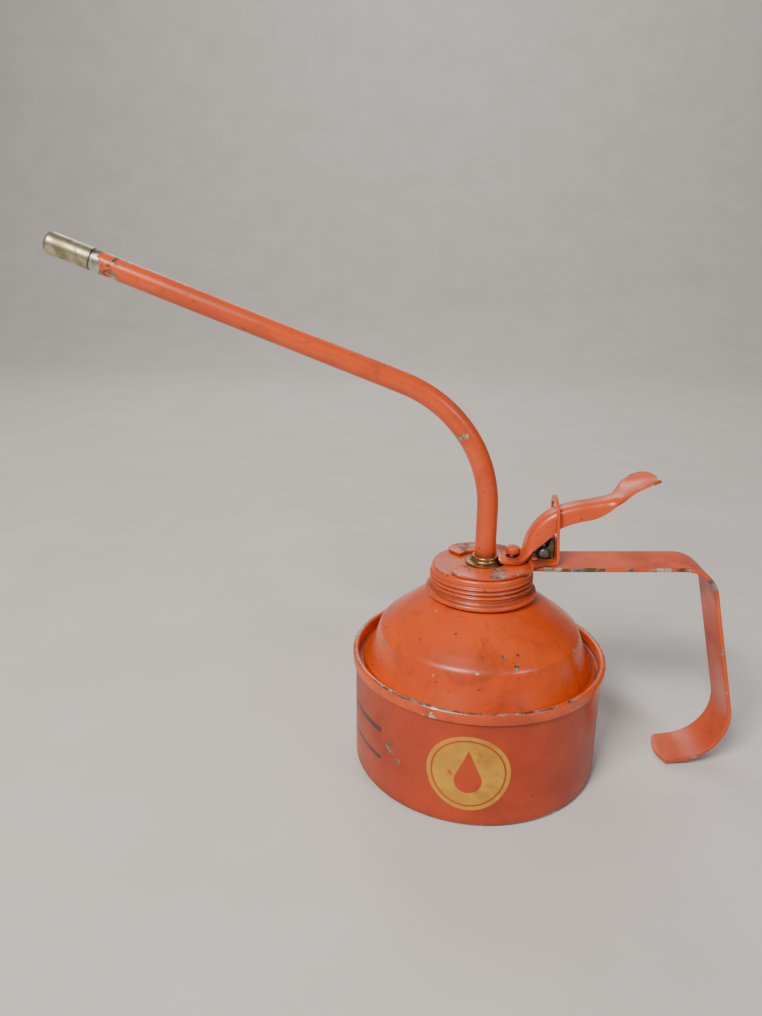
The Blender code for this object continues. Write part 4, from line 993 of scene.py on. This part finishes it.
# Along the lever's crown: x, z, half width, and how deep its edges turn down, or up where it is below 0.
LEVER_STATIONS = [
    (0.0069, 0.0874, FOOT_HALF * 0.78, 0.0),
    (0.0072, 0.0866, FOOT_HALF * 0.90, 0.0),
    (0.0083, FOOT_Z, FOOT_HALF, 0.0),
    (0.0126, FOOT_Z, FOOT_HALF, 0.0001),
    (0.0148, 0.0882, FOOT_HALF * 0.93, 0.0012),
    (0.0156, 0.0918, 0.0055, 0.0036),
    (0.0174, 0.0968, LEVER_HALF, 0.0062),
    (0.0207, 0.1017, LEVER_HALF, 0.0070),
    (0.0255, 0.1055, LEVER_HALF, 0.0066),
    (0.0330, 0.1082, LEVER_HALF, 0.0064),
    (0.0400, 0.1096, LEVER_HALF, 0.0060),
    (0.0450, 0.1108, 0.0054, 0.0040),
    (0.0490, 0.1124, 0.0066, 0.0010),
    (0.0530, 0.1144, PAD_HALF * 0.97, -0.0012),
    (0.0570, 0.1161, PAD_HALF, -0.0019),
    (0.0600, 0.1171, PAD_HALF * 0.91, -0.0020),
    (0.0622, 0.1177, PAD_HALF * 0.70, -0.0015),
    (0.0634, 0.1180, PAD_HALF * 0.36, -0.0008),
]


def make_lever():
    """The pressed thumb lever: hooked foot, rounded back and a dished thumb pad."""
    stations = smooth_through(LEVER_STATIONS, 6)
    rows = []
    for i, (x, z, half, depth) in enumerate(stations):
        before, after = stations[max(i - 1, 0)], stations[min(i + 1, len(stations) - 1)]
        way = Vector((after[0] - before[0], 0, after[1] - before[1])).normalized()
        up = way.cross(Vector((0, 1, 0)))
        row = []
        for k in range(-14, 15):
            share = k / 14
            bend = min(1.0, max(0.0, depth) / half)
            y = half * (share * (1 - bend) + math.sin(share * math.pi / 2) * bend)
            drop = depth * abs(share) ** (2 + 1.5 * bend)
            row.append(Vector((x, y, z)) - up * drop)
        rows.append(row)

    def marks(p):
        pad_edge = near(p.x, 0.0642, 0.0030) + near(abs(p.y), 7.9 * MM, 1.3 * MM)
        worn = 0.13 + 0.50 * min(1.0, pad_edge) * (1.0 if p.x > 0.050 else 0.0)
        worn += 0.30 * near(p.x, 0.0069, 0.0016) * near(p.z, 0.087, 0.002)
        worn += 0.30 * near(abs(p.y), LEVER_HALF, 0.8 * MM) * near(p.x, 0.030, 0.016)
        worn += 0.20 * near(p.x, 0.0115, 0.004) * near(p.z, FOOT_Z, 0.001)
        # The foot round the plunger's button is darkened as a painted shadow of the button.
        dirtied_and_shaded = 0.55 * near(p.x, 0.0130, 0.0040) * near(p.z, 0.0870, 0.0030)
        return worn, dirtied_and_shaded

    lever = finish_piece(
        "thumb_lever_pressing", grid(rows), "lever", ["thumb_lever"], trim_paint,
        closed=False)
    modifier(lever, "SOLIDIFY", thickness=1.2 * MM, offset=-1.0)
    settle(lever)
    cut(lever, post(2.7 * MM, FOOT_Z - 4 * MM, FOOT_Z + 0.9 * MM, ROD_X))
    soften(lever, 0.30 * MM, 3, marks, 50)


def make_pin():
    """The fulcrum pin with its two riveted heads."""
    reach, head_r, pin_r = pin_high[1], 1.9 * MM, 1.2 * MM
    round_r, head = 0.45 * MM, 0.7 * MM
    half = [(0, -reach)] + arc((head_r - round_r, -reach + round_r), round_r, -90, 0, 6)
    half += [(head_r, -reach + head), (pin_r, -reach + head)]
    work = turned(half + [(r, -z) for r, z in half[::-1]], 48)
    turn = Matrix.Translation((PIN_X, 0, PIN_Z)) @ Matrix.Rotation(math.pi / 2, 4, "X")
    bmesh.ops.transform(work, matrix=turn, verts=work.verts)
    finish_piece("pin", work, "pump_cap", ["fulcrum_pin"], steel, lambda p: (0.3, 0.35))


def make_plunger():
    """The plunger's button and its rod."""
    head_r, base, top = 2.7 * MM, head_low[2], head_high[2]
    outline = rounded([(0, base), (head_r, base, 0.25 * MM), (head_r, top, 0.8 * MM), (0, top)], 10)
    # The button's lower edge is darkened as painted shade over the gap above the lever's foot.
    finish_piece(
        "plunger_button", turned(outline, 64, ROD_X), "plunger", ["plunger_head"],
        trim_paint, lambda p: (0.22 + 0.35 * near(p.z, top, 0.5 * MM), 0.5 * near(p.z, base, 0.7 * MM)))
    low, high = rod_low[2], base + 0.4 * MM
    outline = rounded([(0, low), (ROD_R, low, 0.2 * MM), (ROD_R, high), (0, high)], 15)
    # The shank is darkened where it goes into the lever's foot, as painted shade.
    finish_piece(
        "plunger_shank", turned(outline, 48, ROD_X), "plunger", ["plunger_rod"], steel,
        lambda p: (0.2, 0.2 * near(p.z, 0.086, 0.003)))


def make_spring(name, node, turns, wire_r, low_r, high_r, x):
    """A fine coil in place of a packed spring."""
    low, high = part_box(node)
    bottom, top = low.z + wire_r, high.z - wire_r
    steps = turns * 28
    upwards = Vector((0, 0, 1))
    rings = []
    for i in range(steps + 1):
        share = i / steps
        angle = 2 * math.pi * turns * share
        out = Vector((math.cos(angle), math.sin(angle), 0))
        centre = Vector((x, 0, bottom + (top - bottom) * share)) + out * (low_r + (high_r - low_r) * share)
        rings.append([centre + (out * math.cos(a) + upwards * math.sin(a)) * wire_r for a in all_round(10)])
    spring = finish_piece(name, swept(rings), "pump_cap", [node], steel, lambda p: (0.2, 0.3))
    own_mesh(spring)


def make_springs():
    """The plunger's return spring in the barrel, and the cone spring of the outlet valve."""
    make_spring(
        "return_spring", "plunger_spring", turns=9, wire_r=0.35 * MM,
        low_r=2.4 * MM, high_r=2.4 * MM, x=ROD_X)
    make_spring(
        "valve_spring", "outlet_spring", turns=3, wire_r=0.25 * MM,
        low_r=1.14 * MM, high_r=3.45 * MM, x=COLLAR_X)


def finish_internals():
    """The pump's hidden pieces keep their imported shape, and get their own metals and leather."""
    inside = [
        (brass, ["pump_head", "rod_gland", "pump_barrel", "foot_valve_body", "inlet_strainer", "piston"]),
        (steel, ["lever_yoke", "piston_nut", "inlet_ball", "outlet_ball"]),
        (leather, ["piston_cup"]),
    ]
    for paint, names in inside:
        for name in names:
            materials = NODES[name].data.materials
            materials.clear()
            materials.append(paint)


# ---------------------------------------------------------------- stage


def make_stage():
    """A pale floor that curves up behind, a warm key light from the left front, weaker ones and a dim sky."""
    s = Shader("pale_floor")
    tone = s.noise(14, 3, 0.5)
    s.set(Base_Color=s.mix(s.step(tone, 0.3, 0.7), (0.62, 0.60, 0.57), (0.66, 0.64, 0.61)), Roughness=0.62)
    s.set(Normal=s.bump(s.noise(600, 3, 0.6), 0.00005, 0.3))
    work = bmesh.new()
    sweep = rounded([(-3.0, -0.0002), (1.9, -0.0002, 0.9), (2.2, 2.6)], 5)
    across = (-4, -2, 0, 2, 4)
    rows = [[work.verts.new((x, y, z)) for x in across] for y, z in sweep]
    for low, high in zip(rows, rows[1:]):
        for i in range(len(across) - 1):
            work.faces.new((low[i], low[i + 1], high[i + 1], high[i]))
    mesh = bpy.data.meshes.new("floor")
    work.to_mesh(mesh)
    work.free()
    floor = bpy.data.objects.new("floor", mesh)
    bpy.context.scene.collection.objects.link(floor)
    mesh.materials.append(s.material)
    mesh.shade_smooth()

    lights = [
        ("key", (-0.50, -0.80, 0.95), 0.42, 20.5, (1.0, 0.93, 0.84)),
        ("side", (0.62, -0.60, 0.55), 0.16, 2.0, (0.60, 0.74, 1.0)),
        ("back", (-0.20, 0.95, 0.80), 0.60, 3.0, (1.0, 0.96, 0.90)),
        ("wall", (0.0, 0.70, 1.70), 1.20, 16, (1.0, 0.98, 0.95)),
    ]
    # Each light: its name, place, width, power and colour.
    for name, place, size, power, colour in lights:
        data = bpy.data.lights.new(name, "AREA")
        data.shape = "RECTANGLE"
        data.size, data.size_y = size, size * 0.7
        data.energy = power
        data.color = colour
        light = bpy.data.objects.new(name, data)
        bpy.context.scene.collection.objects.link(light)
        light.location = place
        target = Vector((0, 2.4, 0.7)) if name == "wall" else Vector((0, 0, 0.06))
        light.rotation_euler = (Vector(place) - target).to_track_quat("Z", "Y").to_euler()

    world = bpy.data.worlds.new("sky")
    bpy.context.scene.world = world
    world.use_nodes = True
    world.node_tree.nodes["Background"].inputs[0].default_value = (0.95, 0.91, 0.86, 1)
    world.node_tree.nodes["Background"].inputs[1].default_value = 0.16


make_drum()
make_dome()
make_neck()
make_washer()
make_cap()
make_bracket()
make_rivets()
make_strap()
make_spout()
make_lever()
make_pin()
make_plunger()
make_springs()
finish_internals()
make_stage()
